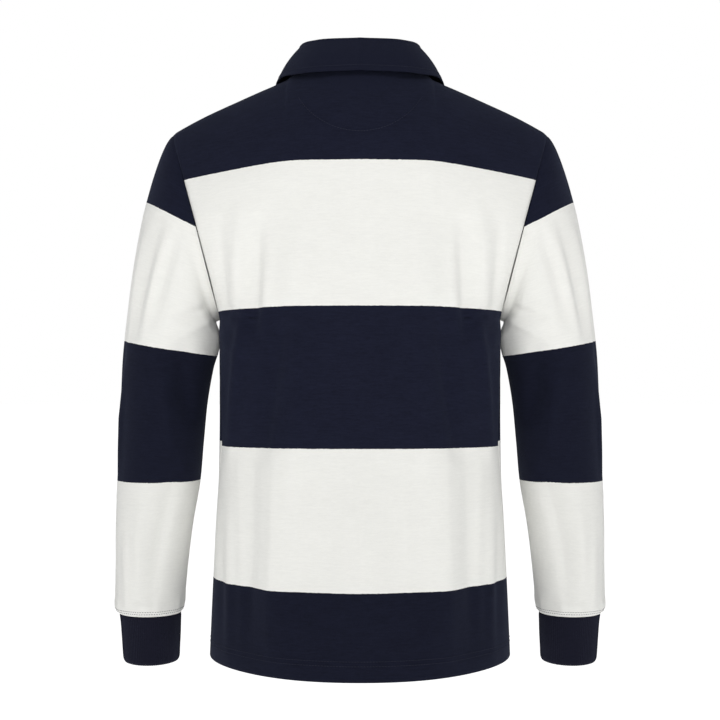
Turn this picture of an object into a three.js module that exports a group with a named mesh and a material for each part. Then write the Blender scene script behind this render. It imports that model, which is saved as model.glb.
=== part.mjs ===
import * as THREE from 'three';

// A long-sleeved polo sweatshirt, filled out as it is worn, with nobody in it. Millimetres.
// +Z is up, the back faces +Y and the wearer's left is +X. The origin is the middle of the neck, level with
// the high points of the shoulders. The seams over the shoulders and under the arms lie at y = 0.

// ---------------------------------------------------------------- sizes

const CLOTH = 1.5;             // heavy knitted jersey
const HEM_CLOTH = 2.8;         // the jersey turned up and stitched down
const COLLAR_CLOTH = 2.0;      // two layers of woven twill
const CUFF_CLOTH = 2.4;        // doubled rib
const PATCH_CLOTH = 1.0;
const SEAM_GAP = 0.3;
const SLEEVE_GAP = 0.45;        // a sleeve ends this much short, where the cloth turns sharply under the arm

const NECK = { halfWidth: 88, back: 64, front: 80, height: -1, backRise: 5, frontDrop: 71 };
const SHOULDER = { x: 233, z: -69, crown: 3.4 };
const UNDERARM = { x: 172.5, z: -300 };
const ARMHOLE = { back: 67, front: 70, backScoop: 4.5, frontScoop: 12 };
const HEM_Z = -718;
const HEM_DEPTH = 24;
const HEM_RISE = 3;            // how much higher the hem is at the side seams
const CUFF = { top: -670, bottom: -731 };
const PLACKET = { halfWidth: 15, overlap: 2, bottom: -238, top: -74, cloth: 1.5, rows: 12 };
const BUTTON = { radius: 6, thickness: 2.4, hole: 0.9, holeAt: 1.9, heights: [-96, -146, -196] };
const PATCH_RADIUS = 82;
const PATCH_DEPTH = 3.6;        // how far the patch's outside lies under the back's outside

const COLUMNS = 12;            // cells from the middle of a panel to its edge
const NECK_COLUMN = 5;         // the column that ends at the side of the neck
const ARMHOLE_ROWS = 12;       // cells up each half of the armhole
const BODY_ROWS = 16;          // cells from hem to underarm
const SLIT_ROW = BODY_ROWS + 4;
const AROUND_SLEEVE = 2 * ARMHOLE_ROWS;

// Level sections of the body, hem first: half width at the sides, depth behind and in front of y = 0, how far
// back the side seam has swung, and roundness, where 2 is an ellipse and more is squarer.
const BODY = [
  { z: -718, side: 187.0, back: 139, front: 126, seam: 0, backRound: 1.95, frontRound: 1.95 },
  { z: -660, side: 184.5, back: 136, front: 125, seam: 0, backRound: 2.05, frontRound: 2.05 },
  { z: -600, side: 181.5, back: 131, front: 124, seam: 3, backRound: 2.2, frontRound: 2.15 },
  { z: -540, side: 178.5, back: 127, front: 123, seam: 14, backRound: 2.3, frontRound: 2.25 },
  { z: -500, side: 175.5, back: 123, front: 122, seam: 28, backRound: 2.4, frontRound: 2.3 },
  { z: -450, side: 174.5, back: 119, front: 121, seam: 40, backRound: 2.45, frontRound: 2.35 },
  { z: -400, side: 174.0, back: 116, front: 121, seam: 32, backRound: 2.55, frontRound: 2.4 },
  { z: -340, side: 173.5, back: 114, front: 121, seam: 12, backRound: 2.9, frontRound: 2.65 },
  { z: -300, side: 172.5, back: 113, front: 121, seam: 0, backRound: 3.0, frontRound: 2.75 },
];

// Depth of the chest and the upper back, from the underarm (up 0) to the neck and shoulder seams (up 1).
const CHEST = [
  { up: 0.00, back: 113, front: 121, backRound: 3.0, frontRound: 2.75 },
  { up: 0.25, back: 113, front: 123, backRound: 2.75, frontRound: 2.55 },
  { up: 0.50, back: 110, front: 119, backRound: 2.5, frontRound: 2.4 },
  { up: 0.75, back: 105, front: 109, backRound: 2.4, frontRound: 2.3 },
  { up: 1.00, back: 100, front: 97, backRound: 2.3, frontRound: 2.3 },
];

// Sections of the left sleeve from armhole to cuff: its line under the arm, its line over the arm, and its
// depth behind and in front of its middle.
const SLEEVE = [
  { innerX: 172.5, innerZ: -300, outerX: 233.0, outerZ: -69, middle: 0, back: 67, front: 70 },
  { innerX: 181.0, innerZ: -302.3, outerX: 242.0, outerZ: -83, middle: 0, back: 69, front: 71 },
  { innerX: 180.3, innerZ: -309.5, outerX: 251.5, outerZ: -106, middle: 0, back: 70, front: 71 },
  { innerX: 177.0, innerZ: -322, outerX: 262.0, outerZ: -139, middle: 0, back: 69, front: 70 },
  { innerX: 177.0, innerZ: -329, outerX: 273.5, outerZ: -184, middle: -1, back: 68, front: 69 },
  { innerX: 177.8, innerZ: -337, outerX: 284.0, outerZ: -240, middle: -2, back: 66, front: 67 },
  { innerX: 179.5, innerZ: -347, outerX: 291.0, outerZ: -292, middle: -3, back: 64, front: 65 },
  { innerX: 184.0, innerZ: -363, outerX: 297.0, outerZ: -346, middle: -4, back: 62, front: 63 },
  { innerX: 191.0, innerZ: -403, outerX: 299.5, outerZ: -397, middle: -5, back: 59, front: 60 },
  { innerX: 196.0, innerZ: -452, outerX: 301.5, outerZ: -449, middle: -7, back: 56, front: 57 },
  { innerX: 201.0, innerZ: -502, outerX: 304.5, outerZ: -501, middle: -10, back: 52, front: 54 },
  { innerX: 210.5, innerZ: -553, outerX: 307.8, outerZ: -553, middle: -14, back: 48, front: 50 },
  { innerX: 217.7, innerZ: -604, outerX: 309.0, outerZ: -604, middle: -20, back: 45, front: 46 },
  { innerX: 222.0, innerZ: -643, outerX: 310.0, outerZ: -643, middle: -24, back: 43, front: 43 },
  { innerX: 224.0, innerZ: -661, outerX: 310.2, outerZ: -661, middle: -25.5, back: 41.5, front: 42 },
  { innerX: 226.0, innerZ: -669.7, outerX: 306.8, outerZ: -669.7, middle: -26, back: 39, front: 39 },
];
const SLEEVE_ROWS = 20;
const CUFF_SECTIONS = [
  { z: CUFF.top, innerX: 226.2, outerX: 306.2, middle: -26, half: 38.8 },
  { z: -676, innerX: 227.3, outerX: 304.2, middle: -26.6, half: 37.8 },
  { z: -696, innerX: 228.2, outerX: 302.8, middle: -28.8, half: 37.4 },
  { z: -716, innerX: 229.4, outerX: 301.8, middle: -30.6, half: 37.0 },
  { z: -728, innerX: 230.2, outerX: 300.8, middle: -31.4, half: 36.8 },
  { z: CUFF.bottom, innerX: 231.8, outerX: 299.2, middle: -31.6, half: 36.0 },
];

// Half of the collar from the middle of the back (turn 0) to its front end (turn 1): the crest where it
// folds over, and the free edge of the leaf.
const COLLAR = [
  { turn: 0.00, crestX: 0, crestY: 60, crestZ: 39, edgeX: 0, edgeY: 76, edgeZ: -3 },
  { turn: 0.25, crestX: 54, crestY: 46, crestZ: 39.5, edgeX: 70, edgeY: 61, edgeZ: -4 },
  { turn: 0.50, crestX: 77, crestY: 3, crestZ: 39, edgeX: 104, edgeY: 6, edgeZ: -4 },
  { turn: 0.70, crestX: 66, crestY: -40, crestZ: 14, edgeX: 103, edgeY: -55, edgeZ: -38 },
  { turn: 0.85, crestX: 38, crestY: -68, crestZ: -18, edgeX: 82, edgeY: -86, edgeZ: -80 },
  { turn: 1.00, crestX: 5, crestY: -80, crestZ: -42, edgeX: 47, edgeY: -106, edgeZ: -116 },
];
const COLLAR_COLUMNS = 14;
const COLLAR_FOLD = 3.6;       // outer radius of the fold at the crest
const LEAF_LIFT = 6.8;         // the leaf's outside over the chest
const LEAF_BOW = 2.5;          // how far the leaf stands out from a straight line

// The largest folds. A fold runs straight from its top to its bottom and dies away at both ends. Its height
// is how far it stands out, and a trough has a negative one. Both halves of the garment have the same.
const BACK_FOLDS = [
  { topX: 96, topZ: -285, bottomX: 121, bottomZ: -660, width: 20, height: -3.6 },
  { topX: 139, topZ: -283, bottomX: 166, bottomZ: -470, width: 9, height: 2.6 },
  { topX: 128, topZ: -190, bottomX: 134, bottomZ: -330, width: 13, height: -2.8 },
  { topX: 172, topZ: -178, bottomX: 160, bottomZ: -300, width: 9, height: -2.2 },
  { topX: 70, topZ: -210, bottomX: 84, bottomZ: -420, width: 22, height: 1.6 },
  { topX: 150, topZ: -470, bottomX: 152, bottomZ: -716, width: 16, height: 2.2 },
];
const FRONT_FOLDS = [
  { topX: 150, topZ: -170, bottomX: 96, bottomZ: -330, width: 15, height: -3.0 },
  { topX: 116, topZ: -320, bottomX: 124, bottomZ: -690, width: 20, height: -3.4 },
  { topX: 60, topZ: -300, bottomX: 70, bottomZ: -600, width: 24, height: 2.0 },
  { topX: 154, topZ: -420, bottomX: 150, bottomZ: -716, width: 16, height: 2.2 },
];
// A sleeve's folds: the angle is 0 under the arm, 90 behind, 180 over and 270 in front of it.
const SLEEVE_FOLDS = [
  { topAngle: 118, topZ: -190, bottomAngle: 128, bottomZ: -330, width: 16, height: -2.8 },
  { topAngle: 158, topZ: -175, bottomAngle: 160, bottomZ: -420, width: 14, height: -2.6 },
  { topAngle: 70, topZ: -330, bottomAngle: 40, bottomZ: -430, width: 18, height: -3.2 },
  { topAngle: 60, topZ: -480, bottomAngle: 82, bottomZ: -655, width: 17, height: -2.4 },
  { topAngle: 235, topZ: -200, bottomAngle: 250, bottomZ: -350, width: 18, height: -3.0 },
  { topAngle: 300, topZ: -350, bottomAngle: 270, bottomZ: -520, width: 20, height: -3.2 },
  { topAngle: 130, topZ: -560, bottomAngle: 120, bottomZ: -664, width: 12, height: 1.8 },
  { topAngle: 215, topZ: -570, bottomAngle: 225, bottomZ: -664, width: 13, height: 1.8 },
];

const NAVY = 0x1e2030;
const CREAM = 0xefede4;

// ---------------------------------------------------------------- tables and grids

const mix = (a, b, f) => a + (b - a) * f;
const clamp01 = (v) => Math.min(1, Math.max(0, v));

// One column of a table, read at a place between its rows on a smooth curve through them.
function read(table, key, column, at) {
  const rising = table[table.length - 1][key] > table[0][key] ? 1 : -1;
  let i = 0;
  while (i < table.length - 2 && rising * table[i + 1][key] < rising * at) i += 1;
  const before = table[Math.max(0, i - 1)];
  const low = table[i];
  const high = table[i + 1];
  const after = table[Math.min(table.length - 1, i + 2)];
  const span = high[key] - low[key];
  const f = clamp01((at - low[key]) / span);
  const slopeLow = span * (high[column] - before[column]) / (high[key] - before[key]);
  const slopeHigh = span * (after[column] - low[column]) / (after[key] - low[key]);
  const f2 = f * f;
  const f3 = f2 * f;
  return (2 * f3 - 3 * f2 + 1) * low[column] + (f3 - 2 * f2 + f) * slopeLow
    + (3 * f2 - 2 * f3) * high[column] + (f3 - f2) * slopeHigh;
}

// Rows of points. A grid that is round joins its last column to its first.
function gridOf(rowCount, columnCount, pointAt, round = false) {
  const points = [];
  for (let i = 0; i < rowCount; i += 1) {
    points.push([]);
    for (let j = 0; j < columnCount; j += 1) points[i].push(pointAt(i, j));
  }
  return { points, rowCount, columnCount, round };
}

const columnOf = (grid, j) => (grid.round
  ? (j + grid.columnCount) % grid.columnCount
  : Math.min(grid.columnCount - 1, Math.max(0, j)));

// The outward direction at every point, from the points around it.
function normalsOf(grid) {
  const normals = [];
  for (let i = 0; i < grid.rowCount; i += 1) {
    normals.push([]);
    const above = grid.points[Math.min(grid.rowCount - 1, i + 1)];
    const below = grid.points[Math.max(0, i - 1)];
    for (let j = 0; j < grid.columnCount; j += 1) {
      const up = above[j].clone().sub(below[j]);
      const along = grid.points[i][columnOf(grid, j + 1)].clone().sub(grid.points[i][columnOf(grid, j - 1)]);
      normals[i].push(up.cross(along).normalize());
    }
  }
  return normals;
}

// Moves each point out along its normal by heightAt(point, i, j).
function pushOut(grid, heightAt) {
  const normals = normalsOf(grid);
  grid.points.forEach((row, i) => row.forEach((point, j) => {
    point.addScaledVector(normals[i][j], heightAt(point, i, j));
  }));
  return grid;
}

// How far a list of folds moves the cloth at a place across and a height z.
function foldHeight(folds, across, z, topKey, bottomKey, scale = 1) {
  let height = 0;
  for (const fold of folds) {
    const down = (fold.topZ - z) / (fold.topZ - fold.bottomZ);
    if (down <= 0 || down >= 1) continue;
    const middle = mix(fold[topKey], fold[bottomKey], down);
    const away = (across - middle) * scale / fold.width;
    height += fold.height * Math.exp(-away * away) * Math.sin(Math.PI * down) ** 0.8;
  }
  return height;
}

// ---------------------------------------------------------------- seams

// Directions at points that two pieces share are summed here, so that both walls end on the same line.
const seamNormals = new Map();
const seamKey = (p) => [p.x, p.y, p.z].map((v) => Math.round(v * 50)).join(' ');

function isBorder(grid, i, j) {
  const sideways = !grid.round && (j === 0 || j === grid.columnCount - 1);
  return sideways || i === 0 || i === grid.rowCount - 1;
}

function noteSeams(grid) {
  grid.normals = normalsOf(grid);
  grid.points.forEach((row, i) => row.forEach((point, j) => {
    if (!isBorder(grid, i, j)) return;
    const key = seamKey(point);
    if (!seamNormals.has(key)) seamNormals.set(key, new THREE.Vector3());
    seamNormals.get(key).add(grid.normals[i][j]);
  }));
}

// The outer and inner point of a wall at (i, j). At a border the wall ends half a seam gap early.
function wallPair(grid, i, j, thickness) {
  const point = grid.points[i][j];
  const normal = grid.normals[i][j];
  if (!isBorder(grid, i, j)) return [point.clone(), point.clone().addScaledVector(normal, -thickness)];
  const shared = seamNormals.get(seamKey(point)).clone().normalize();
  const pull = new THREE.Vector3();
  const inwards = (row, column) => {
    const step = grid.points[row][column].clone().sub(point);
    pull.add(step.addScaledVector(shared, -step.dot(shared)).normalize());
  };
  if (i === 0) inwards(1, j);
  if (i === grid.rowCount - 1) inwards(i - 1, j);
  if (!grid.round && j === 0) inwards(i, 1);
  if (!grid.round && j === grid.columnCount - 1) inwards(i, j - 1);
  const outer = point.clone().addScaledVector(pull, grid.gap ?? SEAM_GAP / 2);
  const mitre = Math.max(0.9, shared.dot(normal));
  return [outer, outer.clone().addScaledVector(shared, -thickness / mitre)];
}

// ---------------------------------------------------------------- a wall of cloth

// A closed wall under a grid's points. keep(i, j) says whether the cell above and right of (i, j) is cloth.
function wall(grid, thicknessAt, keep = () => true) {
  const cellColumns = grid.round ? grid.columnCount : grid.columnCount - 1;
  const isCloth = (i, j) => {
    if (i < 0 || i >= grid.rowCount - 1) return false;
    if (!grid.round && (j < 0 || j >= cellColumns)) return false;
    return keep(i, grid.round ? (j + cellColumns) % cellColumns : j);
  };
  const pairs = grid.points.map((row, i) => row.map((_, j) => wallPair(grid, i, j, thicknessAt(i, j))));
  const position = [];
  const index = [];
  const numbers = new Map();
  const vertex = (i, j, layer) => {
    const column = columnOf(grid, j);
    const key = (i * grid.columnCount + column) * 2 + layer;
    if (!numbers.has(key)) {
      numbers.set(key, position.length / 3);
      position.push(...pairs[i][column][layer].toArray());
    }
    return numbers.get(key);
  };
  for (let i = 0; i < grid.rowCount - 1; i += 1) {
    for (let j = 0; j < cellColumns; j += 1) {
      if (!isCloth(i, j)) continue;
      const corners = [[i, j], [i + 1, j], [i + 1, j + 1], [i, j + 1]];
      const out = corners.map(([row, column]) => vertex(row, column, 0));
      const inside = corners.map(([row, column]) => vertex(row, column, 1));
      // Both halves of a piece are split along mirrored diagonals.
      const split = grid.round === (j < cellColumns / 2) ? [0, 1, 2, 0, 2, 3] : [0, 1, 3, 3, 1, 2];
      index.push(...split.map((corner) => out[corner]));
      index.push(...split.map((corner) => inside[corner]).reverse());
      const open = [!isCloth(i, j - 1), !isCloth(i + 1, j), !isCloth(i, j + 1), !isCloth(i - 1, j)];
      open.forEach((isOpen, side) => {
        if (!isOpen) return;
        const next = (side + 1) % 4;
        index.push(out[next], out[side], inside[side], out[next], inside[side], inside[next]);
      });
    }
  }
  const geometry = new THREE.BufferGeometry();
  geometry.setAttribute('position', new THREE.Float32BufferAttribute(position, 3));
  geometry.setIndex(index);
  return geometry;
}

// ---------------------------------------------------------------- the body

const rootOf = (v) => Math.sqrt(Math.max(0, v));

// Where a panel's middle column, its slit column and its neck columns meet the neck seam, and the rest the
// shoulder seam.
const SLIT_ANGLE = Math.asin(PLACKET.halfWidth / NECK.halfWidth);

function topX(column) {
  const neckTurn = mix(SLIT_ANGLE, Math.PI / 2, (column - 1) / (NECK_COLUMN - 1));
  if (column <= 1) return PLACKET.halfWidth * column;
  if (column <= NECK_COLUMN) return NECK.halfWidth * Math.sin(neckTurn);
  return mix(NECK.halfWidth, SHOULDER.x, (column - NECK_COLUMN) / (COLUMNS - NECK_COLUMN));
}

// Height and depth of the neck and shoulder seam above a place across.
function topSeam(side, x) {
  const aroundNeck = rootOf(1 - (x / NECK.halfWidth) ** 2);
  const shoulder = clamp01((x - NECK.halfWidth) / (SHOULDER.x - NECK.halfWidth));
  const rise = side === 'back' ? NECK.backRise : -NECK.frontDrop;
  const depth = side === 'back' ? NECK.back : NECK.front;
  const crown = SHOULDER.crown * Math.sin(Math.PI * shoulder ** 1.4);
  const z = mix(NECK.height, SHOULDER.z, shoulder) + rise * aroundNeck + crown;
  return { z, depth: depth * aroundNeck };
}

const armholeReach = (up) => rootOf(4 * up * (1 - up));

function armholeX(side, up) {
  const scoop = side === 'back' ? ARMHOLE.backScoop : ARMHOLE.frontScoop;
  return mix(UNDERARM.x, SHOULDER.x, up) - scoop * armholeReach(up) ** 2;
}

// The half section of the body at a height: angle 0 in the middle of the panel, 90 at the widest place.
function sectionPoint(side, z, angle) {
  const other = side === 'back' ? 'front' : 'back';
  const facing = Math.cos(angle) >= 0 ? side : other;
  const round = read(BODY, 'z', `${facing}Round`, z);
  const depth = read(BODY, 'z', facing, z) * Math.abs(Math.cos(angle)) ** (2 / round);
  const x = read(BODY, 'z', 'side', z) * Math.sin(angle) ** (2 / round);
  return new THREE.Vector3(x, facing === 'back' ? depth : -depth, z);
}

function sideSeam(z) {
  const swing = read(BODY, 'z', 'seam', z) / read(BODY, 'z', 'back', z);
  return sectionPoint('back', z, Math.acos(Math.max(0, swing) ** (read(BODY, 'z', 'backRound', z) / 2)));
}

// Points along the half section, evenly spaced from the slit column to the side seam.
function bodyRow(side, z) {
  const swing = Math.max(0, read(BODY, 'z', 'seam', z)) / read(BODY, 'z', 'back', z);
  const backAngle = Math.acos(swing ** (read(BODY, 'z', 'backRound', z) / 2));
  const last = side === 'back' ? backAngle : Math.PI - backAngle;
  const steps = 240;
  const line = [sectionPoint(side, z, 0)];
  const lengths = [0];
  for (let k = 1; k <= steps; k += 1) {
    line.push(sectionPoint(side, z, last * k / steps));
    lengths.push(lengths[k - 1] + line[k].distanceTo(line[k - 1]));
  }
  const whole = lengths[steps];
  const row = [];
  for (let column = 0; column <= COLUMNS; column += 1) {
    const wanted = column === 0 ? 0 : mix(PLACKET.halfWidth, whole, (column - 1) / (COLUMNS - 1));
    let k = 1;
    while (k < steps && lengths[k] < wanted) k += 1;
    const f = clamp01((wanted - lengths[k - 1]) / (lengths[k] - lengths[k - 1]));
    row.push(line[k - 1].clone().lerp(line[k], f));
  }
  row[COLUMNS] = sideSeam(z);
  const low = clamp01((HEM_Z + 4 * HEM_DEPTH - z) / (4 * HEM_DEPTH));
  row.forEach((point) => {
    point.z += HEM_RISE * low * (point.x / BODY[0].side) ** 4;
  });
  return row;
}

const UNDERARM_ROW = { back: bodyRow('back', UNDERARM.z), front: bodyRow('front', UNDERARM.z) };

// Half way across is column COLUMNS / 2, and up is 0 at the underarm and 1 at the neck and shoulder seams.
function chestX(side, column, up) {
  if (column <= 1) return PLACKET.halfWidth * column;
  const low = Math.floor(Math.min(column, COLUMNS - 0.001));
  const underarm = mix(UNDERARM_ROW[side][low].x, UNDERARM_ROW[side][low + 1].x, column - low);
  const share = mix(underarm / UNDERARM.x, topX(column) / SHOULDER.x, up);
  return armholeX(side, up) * share;
}

// Depth of the chest or the upper back. Each level is part of a section that is wide enough to reach the
// armhole at its right depth, and towards the shoulder it rolls over to the seam.
function chestDepth(side, column, up, x) {
  const middle = read(CHEST, 'up', side, up);
  const round = read(CHEST, 'up', `${side}Round`, up);
  const atArmhole = ARMHOLE[side] * (up < 0.5 ? armholeReach(up) : 1);
  const whole = armholeX(side, up) / (1 - (atArmhole / middle) ** round) ** (1 / round);
  const body = middle * Math.max(0, 1 - (x / whole) ** round) ** (1 / round);
  const seam = topSeam(side, topX(column)).depth;
  const outwards = clamp01((column - 0.6 * NECK_COLUMN) / (0.6 * NECK_COLUMN));
  const reach = mix(0.36, 0.5, outwards);
  const below = clamp01((1 - up) / reach);
  const roll = (1 - (1 - below) ** 2) ** (1 / mix(1, 2, outwards));
  return mix(seam, body, roll);
}

function chestPoint(side, column, up) {
  const x = chestX(side, column, up);
  const z = mix(UNDERARM.z, topSeam(side, topX(column)).z, up);
  const depth = chestDepth(side, column, up, x);
  return new THREE.Vector3(x, side === 'back' ? depth : -depth, z);
}

const armholeUp = (row) => (1 - Math.cos(Math.PI * row / ARMHOLE_ROWS)) / 2;

// The depth of the cloth at a place on the chest or the upper back.
function chestAt(side, x, z) {
  let column = COLUMNS / 2;
  let up = 0.5;
  for (let pass = 0; pass < 12; pass += 1) {
    up = clamp01((z - UNDERARM.z) / (topSeam(side, topX(column)).z - UNDERARM.z));
    let high = 1;
    while (high < COLUMNS && chestX(side, high, up) < x) high += 1;
    const low = high - 1;
    const span = chestX(side, high, up) - chestX(side, low, up);
    column = low + clamp01((x - chestX(side, low, up)) / span);
  }
  const depth = chestDepth(side, column, up, x);
  return new THREE.Vector3(x, side === 'back' ? depth : -depth, z);
}

// A whole panel. Its columns run from the wearer's right to the left behind, and the other way in front, so
// that the cloth's outside is always on the same side of the grid.
function panelGrid(side, folds) {
  const turn = side === 'back' ? 1 : -1;
  const rows = [];
  for (let i = 0; i <= BODY_ROWS; i += 1) {
    const firstRow = HEM_Z + HEM_DEPTH * i;
    const z = i <= 1 ? firstRow : mix(HEM_Z + HEM_DEPTH, UNDERARM.z, (i - 1) / (BODY_ROWS - 1));
    rows.push(bodyRow(side, z));
  }
  for (let k = 1; k <= ARMHOLE_ROWS; k += 1) {
    const row = [];
    for (let column = 0; column <= COLUMNS; column += 1) row.push(chestPoint(side, column, armholeUp(k)));
    row[COLUMNS] = armholePoint(side, k);
    rows.push(row);
  }
  const grid = gridOf(rows.length, 2 * COLUMNS + 1, (i, j) => {
    const column = (j - COLUMNS) * turn;
    const point = rows[i][Math.abs(column)].clone();
    if (column < 0) point.x = -point.x;
    return point;
  });
  return pushOut(grid, (point, i, j) => {
    const edge = Math.abs(j - COLUMNS) / COLUMNS;
    const fade = 1 - edge ** 8;
    return fade * foldHeight(folds, Math.abs(point.x), point.z, 'topX', 'bottomX');
  });
}

// ---------------------------------------------------------------- sleeves and cuffs

// A point round a section of the left sleeve. The angle is 0 under the arm and 90 behind it.
function roundSection(section, angle) {
  const across = (1 - Math.cos(angle)) / 2;
  const depth = Math.sin(angle) > 0 ? section.back : section.front;
  return new THREE.Vector3(
    mix(section.innerX, section.outerX, across),
    section.middle + depth * Math.sin(angle),
    mix(section.innerZ, section.outerZ, across),
  );
}

// The armhole seam, up the back or the front of the body.
function armholePoint(side, row) {
  const up = armholeUp(row);
  const depth = ARMHOLE[side] * armholeReach(up);
  const z = mix(UNDERARM.z, SHOULDER.z, up);
  return new THREE.Vector3(armholeX(side, up), side === 'back' ? depth : -depth, z);
}

const sleeveTable = SLEEVE.map((section, at) => ({ at, ...section }));

function sleeveSection(at) {
  const section = {};
  for (const column of Object.keys(SLEEVE[0])) section[column] = read(sleeveTable, 'at', column, at);
  return section;
}

function sleeveGrid() {
  const last = SLEEVE.length - 1;
  const grid = gridOf(SLEEVE_ROWS + 1, AROUND_SLEEVE, (i, j) => {
    const at = last * (1 - i / SLEEVE_ROWS);
    const angle = 2 * Math.PI * j / AROUND_SLEEVE;
    if (i === SLEEVE_ROWS) {
      return j <= ARMHOLE_ROWS ? armholePoint('back', j) : armholePoint('front', AROUND_SLEEVE - j);
    }
    const point = roundSection(sleeveSection(at), angle);
    const scoop = Math.sin(angle) > 0 ? ARMHOLE.backScoop : ARMHOLE.frontScoop;
    point.x -= scoop * Math.sin(angle) ** 2 * Math.max(0, 1 - at / 3);
    return point;
  }, true);
  return pushOut(grid, (point, i, j) => {
    const ends = Math.min(1, i / 2, (SLEEVE_ROWS - i) / 3);
    const degrees = 360 * j / AROUND_SLEEVE;
    return ends * foldHeight(SLEEVE_FOLDS, degrees, point.z, 'topAngle', 'bottomAngle', 0.9);
  });
}

function cuffGrid() {
  const last = CUFF_SECTIONS.length - 1;
  return gridOf(CUFF_SECTIONS.length, AROUND_SLEEVE, (i, j) => {
    const { z, innerX, outerX, middle, half } = CUFF_SECTIONS[last - i];
    const section = { innerX, outerX, innerZ: z, outerZ: z, middle, back: half, front: half };
    return roundSection(section, 2 * Math.PI * j / AROUND_SLEEVE);
  }, true);
}

// The same grid on the wearer's right. Its columns run the other way, so its outside stays outside.
function mirrored(grid) {
  const last = grid.columnCount - 1;
  return gridOf(grid.rowCount, grid.columnCount, (i, j) => {
    const point = grid.points[i][last - j].clone();
    point.x = -point.x;
    return point;
  }, grid.round);
}

// ---------------------------------------------------------------- collar, patch and placket

// The neck seam, from the middle of the back (turn 0) to the middle of the front (turn 1).
function neckSeam(turn) {
  const angle = Math.PI * turn;
  const side = turn < 0.5 ? 'back' : 'front';
  const x = NECK.halfWidth * Math.sin(angle);
  const { z, depth } = topSeam(side, Math.min(x, NECK.halfWidth));
  return new THREE.Vector3(x, side === 'back' ? depth : -depth, z);
}

// A point of the leaf, moved out where the chest or the upper back would be in its way.
function liftedOffChest(point) {
  const side = point.y > 0 ? 'back' : 'front';
  if (point.z > topSeam(side, Math.max(point.x, 0)).z) return point;
  const needed = Math.abs(chestAt(side, Math.max(point.x, 0), point.z).y) + LEAF_LIFT;
  if (Math.abs(point.y) < needed) point.y = Math.sign(point.y) * needed;
  return point;
}

// The collar's visible face across its width: up the stand, over the crest and down the leaf.
function collarProfile(turn) {
  const crest = new THREE.Vector3(
    read(COLLAR, 'turn', 'crestX', turn),
    read(COLLAR, 'turn', 'crestY', turn),
    read(COLLAR, 'turn', 'crestZ', turn),
  );
  const edge = new THREE.Vector3(
    read(COLLAR, 'turn', 'edgeX', turn),
    read(COLLAR, 'turn', 'edgeY', turn),
    read(COLLAR, 'turn', 'edgeZ', turn),
  );
  const out = new THREE.Vector3(edge.x - crest.x, edge.y - crest.y, 0).normalize();
  const place = (from, outwards, up) => from.clone().addScaledVector(out, outwards)
    .add(new THREE.Vector3(0, 0, up));
  const base = place(neckSeam(Math.min(turn, 0.993)), -COLLAR_CLOTH - 0.6, 1.2);
  const points = [base];
  const standTop = place(crest, -2 * COLLAR_FOLD, -COLLAR_FOLD);
  points.push(base.clone().lerp(standTop, 0.5));
  for (let k = 0; k <= 4; k += 1) {
    const bend = Math.PI * k / 4;
    points.push(place(crest, -COLLAR_FOLD * (1 + Math.cos(bend)), COLLAR_FOLD * (Math.sin(bend) - 1)));
  }
  const leafTop = points[points.length - 1];
  for (const down of [0.3, 0.65, 1]) {
    const bow = LEAF_BOW * Math.sin(Math.PI * down);
    points.push(liftedOffChest(place(leafTop.clone().lerp(edge, down), bow * 0.8, bow * 0.6)));
  }
  return points;
}

function collarGrid() {
  const profiles = [];
  for (let column = 0; column <= COLLAR_COLUMNS; column += 1) {
    profiles.push(collarProfile(column / COLLAR_COLUMNS));
  }
  return gridOf(profiles[0].length, 2 * COLLAR_COLUMNS + 1, (i, j) => {
    const column = COLLAR_COLUMNS - j;
    const point = profiles[Math.abs(column)][i].clone();
    if (column < 0) point.x = -point.x;
    return point;
  });
}

// The half-moon patch inside the back of the neck, made from the back's points and moved in.
function patchGrid() {
  const rows = 5;
  const halfColumns = 8;
  const grid = gridOf(rows + 1, 2 * halfColumns + 1, (i, j) => {
    const angle = (j - halfColumns) / halfColumns * THREE.MathUtils.degToRad(72);
    const x = PATCH_RADIUS * Math.sin(angle);
    const bottom = -PATCH_RADIUS * Math.cos(angle);
    const top = topSeam('back', Math.abs(x)).z - 1.5;
    const point = chestAt('back', Math.abs(x), mix(bottom, top, i / rows));
    point.x = x;
    return point;
  });
  return pushOut(grid, () => -PATCH_DEPTH);
}

// A strip along the slit, lift millimetres outside the front's cloth. left and right are its edges.
function placketGrid(lift, left, right) {
  const columns = 2;
  const grid = gridOf(PLACKET.rows + 1, columns + 1, (i, j) => {
    const x = mix(left, right, j / columns);
    const point = chestAt('front', Math.abs(x), mix(PLACKET.bottom, PLACKET.top, i / PLACKET.rows));
    point.x = x;
    return point;
  });
  return pushOut(grid, () => lift);
}

// A flat sew-through button with four holes, lying on the placket.
function button(height) {
  const outline = new THREE.Shape();
  outline.absarc(0, 0, BUTTON.radius, 0, 2 * Math.PI);
  for (let k = 0; k < 4; k += 1) {
    const angle = Math.PI / 4 + k * Math.PI / 2;
    const hole = new THREE.Path();
    hole.absarc(BUTTON.holeAt * Math.cos(angle), BUTTON.holeAt * Math.sin(angle), BUTTON.hole, 0, 2 * Math.PI);
    outline.holes.push(hole);
  }
  const options = { depth: BUTTON.thickness, bevelEnabled: false, curveSegments: 5 };
  const geometry = new THREE.ExtrudeGeometry(outline, options);
  const at = chestAt('front', 0, height);
  const above = chestAt('front', 0, height + BUTTON.radius);
  const below = chestAt('front', 0, height - BUTTON.radius);
  const up = above.sub(below).normalize();
  const out = new THREE.Vector3(0, -up.z, up.y).normalize();
  const right = up.clone().cross(out);
  const place = new THREE.Matrix4().makeBasis(right, up, out);
  const lift = PLACKET.cloth + 3 * SEAM_GAP + 0.4;
  place.setPosition(at.addScaledVector(out, lift));
  return geometry.applyMatrix4(place);
}

// ---------------------------------------------------------------- the garment

const garment = new THREE.Group();

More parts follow.
